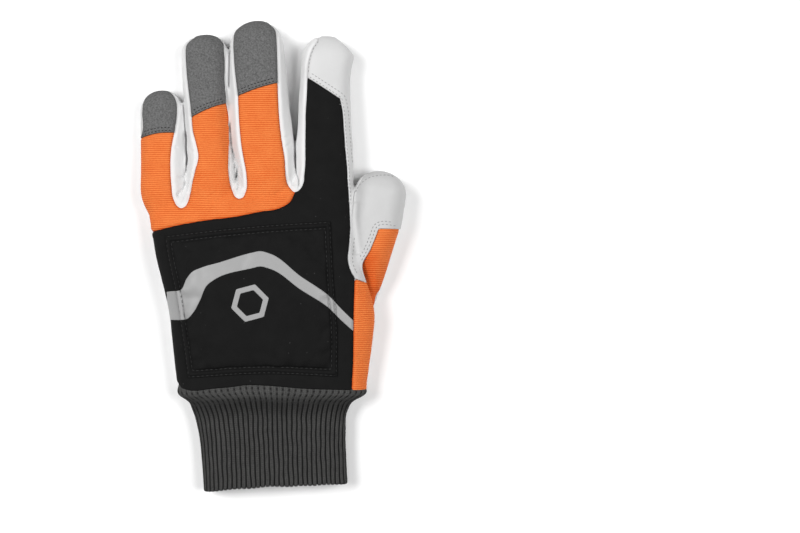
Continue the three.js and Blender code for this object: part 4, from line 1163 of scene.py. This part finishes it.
def cuff_row(t, inward, deep, past):
    """A row's points, one for each eighth of a rib."""
    turn = 2 * math.pi * np.arange(AROUND + 1) / AROUND - math.pi / 2
    x, _ = section(hermite(cuff_table(), np.full(len(turn), t)), turn, CUFF_BOXINESS)
    top = line_at(WRIST_LINE, WRIST_WIDTH, x) + CUFF_START
    y = top + t * (line_at(MOUTH_LINE, CUFF_WIDTH, x) + MOUTH_ROLL - top)
    x, z = section(hermite(cuff_table(), np.maximum(-y / CUFF_LENGTH, -0.08)), turn, CUFF_BOXINESS)
    runs = runs_of(np.column_stack([x, z]))
    # The middle rib keeps to one line down the back.
    back = slice(AROUND // 4, AROUND * 3 // 4 + 1)
    middle = np.interp(MIDDLE_RIB[0] + t * MIDDLE_RIB[1], -x[back], runs[back])
    share = np.arange(COLUMNS + 1) / COLUMNS
    waver = np.array([noise.noise((s * RIBS / 2.5, t * 7, 0)) for s in share])
    waver[-1] = waver[0]
    spots = (middle + (share - 0.5) * runs[-1] + RIB_WAVER * waver) % runs[-1]
    x, y, z = (np.interp(spots, runs, v) for v in (x, y, z))
    way = ways_of(np.column_stack([x, z]))
    out = np.column_stack([way[:, 1], np.zeros(len(x)), -way[:, 0]])
    down = t * CUFF_LENGTH
    groove = 1 - np.abs(np.sin(math.pi * share * RIBS)) ** 0.42
    depth = RIB_DEPTH * deep * groove_depth(down) * (1 + 0.35 * waver) * groove
    tuck = TUCK_DEPTH * bell(down, 3.5)
    y = y - past + 0.8 * groove * ramp(t, 0.965, 1)
    y += MOUTH_WAVER * soft_noise(np.column_stack([x, 0 * x, 0 * x]), 11.0) * t
    row = np.column_stack([x, y, z]) - out * (depth + inward + tuck)[:, None]
    row[:, 2] = np.maximum(row[:, 2], inward * 0.9)
    return row


rows = cuff_rows()
cuff = np.array([cuff_row(*row) for row in rows])
numbers = np.arange(cuff[..., 0].size).reshape(cuff.shape[:2])
quads = np.stack([numbers[:-1, :-1], numbers[1:, :-1], numbers[1:, 1:], numbers[:-1, 1:]], axis=-1)
steps = np.linalg.norm(np.diff(cuff, axis=0), axis=2)
layers = {
    "rib": np.tile(np.arange(COLUMNS + 1) / 8, len(rows)),
    "run": np.vstack([np.zeros(COLUMNS + 1), np.cumsum(steps, axis=0)]).ravel(),
    "deep": np.repeat([1.0 if inward else groove_depth(t * CUFF_LENGTH) for t, inward, _, _ in rows],
                      COLUMNS + 1),
    # How much painted shade the knit gets in the band under its collar
    "waist_shade": bell(cuff[..., 1].ravel() - WAIST_SHADE, 5.5)}
made = mesh_piece("cuff_knit", cuff.reshape(-1, 3), quads.reshape(-1, 4), LOOKS["rib_knit"],
                  layers=layers)
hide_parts("cuff")

# Stitches

trees = [BVHTree.FromPolygons(piece.tolist(), own.tolist()) for piece, own, _, _ in sewn.values()]
# A stitch's rings: the share of its length, how thick it is, how high it lies
STITCH_RINGS = ((0, 0.45, -0.9), (0.16, 0.95, 0.1), (0.5, 1.0, 0.45), (0.84, 0.95, 0.1), (1, 0.45, -0.9))
STITCH_SIDES = 6
# The row of stitches over the tip of the thumb
THUMB_TOP = [(54.3, 113), (57, 117.5), (60.7, 120.5), (64.8, 122.1), (70, 122.9), (74.7, 122.6),
             (77.8, 121.3)]


def dropped(spots):
    """Points in plan set down on the glove."""
    down, result = Vector((0, 0, -1)), []
    for x, y in spots:
        hits = [tree.ray_cast(Vector((x, y, 80)), down) for tree in trees]
        hits = [hit[:2] for hit in hits if hit[0] is not None and hit[1].z > 0.1]
        result.append(max(hits, key=lambda hit: hit[0].z) if hits else None)
    return result


def capsule(a, b, up, radius):
    """A stitch from one end to the other, its ends going into the cloth."""
    way = (b - a).normalized()
    side = way.cross(up).normalized()
    rise = side.cross(way)
    around = [2 * math.pi * k / STITCH_SIDES for k in range(STITCH_SIDES)]
    points = []
    for share, thick, high in STITCH_RINGS:
        middle = a.lerp(b, share) + rise * high * radius
        points += [middle + radius * thick * (side * math.cos(t) + rise * math.sin(t)) for t in around]
    return points


def offset(line, by, start=0.0, end=0.0):
    """The line moved to its left, with its ends cut back."""
    way = ways_of(line)
    line = line + by * np.column_stack([-way[:, 1], way[:, 0]])
    runs = runs_of(line)
    return line[(runs >= start) & (runs <= runs[-1] - end)]


def ends_along(line, pitch, length):
    """The two ends of each stitch along a line in plan."""
    runs = runs_of(line)
    starts = np.arange(0.2, runs[-1] - length, pitch)
    ends = np.column_stack([starts, starts + length]).ravel()
    return np.column_stack([np.interp(ends, runs, column) for column in line.T])


def stitches(name, lines, material, pitch, length, radius):
    one = loft_faces(len(STITCH_RINGS), STITCH_SIDES)
    points, faces = [], []
    for line in lines:
        landed = dropped(ends_along(line, pitch, length))
        for first, second in zip(landed[::2], landed[1::2]):
            if first is None or second is None or (first[0] - second[0]).length > 2 * length:
                continue
            faces += [tuple(len(points) + k for k in reversed(face)) for face in one]
            points += capsule(first[0], second[0], (first[1] + second[1]).normalized(), radius)
    mesh_piece(name, np.array(points), faces, material)


cap_rows = [offset(cap_line(finger), by, 0.8, 0.8) for finger in (LITTLE, RING, MIDDLE) for by in (1.2, 2.9)]
wrap_line = np.vstack([tip_line, index_right[1:]])
strap = np.vstack([hook_line[::-1], on_hand(HOOK_TIP)])
thumb_seam = smooth(on_hand(THUMB_SEAM))
white_rows = [offset(wrap_line, 1.0, 0.5, 14), offset(wrap_line, 3.2, 1.0, 36), offset(strap, 2.6, 5, 3),
              offset(thumb_seam, 1.6, 1.0, 1.0), offset(thumb_seam, 3.3, 1.5, 1.2), smooth(THUMB_TOP),
              offset(index_tip_left, -1.1, 2.0)]
# The pad's outline runs clockwise, so its inside is on the right.
pad_loop = np.vstack([outlines["saw_pad"], outlines["saw_pad"][:1]]) * [PAD_STRETCH, 1]
pad_rows = []
for depth in (0.7, PAD_BORDER):
    ring = offset(pad_loop, -depth) / [PAD_STRETCH, 1]
    pad_rows.append(ring[pad_depth(ring) > depth - 0.25])
stitches("cap_stitches", cap_rows, thread("thread_dark", 46), 2.0, 1.25, 0.26)
stitches("leather_stitches", white_rows, thread("thread_grey", 128), 2.2, 1.4, 0.17)
stitches("pad_stitches", pad_rows, thread("thread_pad", 50), 2.7, 1.6, 0.17)

# Floor and light

FLOOR = [(-3, -3, -0.0002), (3, -3, -0.0002), (3, 3, -0.0002), (-3, 3, -0.0002)]
# name, place, size, watts
LAMPS = [("left_softbox", (-1.35, 0.45, 1.9), 1.2, 50), ("right_softbox", (1.35, 0.1, 1.9), 1.2, 37),
         ("overhead", (0.0, -0.3, 2.2), 0.8, 5)]

floor = mesh_object("floor", FLOOR, [(0, 1, 2, 3)])
floor.data.materials.append(Look("floor", (0.95, 0.95, 0.95, 1), 0.9, 0.1).material)
for name, place, size, watts in LAMPS:
    light = bpy.data.lights.new(name, "AREA")
    light.shape, light.size, light.energy = "SQUARE", size, watts
    lamp = placed(name, light)
    lamp.location = place
    lamp.rotation_euler = (-Vector(place)).to_track_quat("-Z", "Y").to_euler()
room = bpy.data.worlds.new("room")
room.use_nodes = True
room.node_tree.nodes["Background"].inputs["Color"].default_value = (1, 1, 1, 1)
room.node_tree.nodes["Background"].inputs["Strength"].default_value = 0.08
scene.world = room
scene.view_settings.view_transform = "Standard"
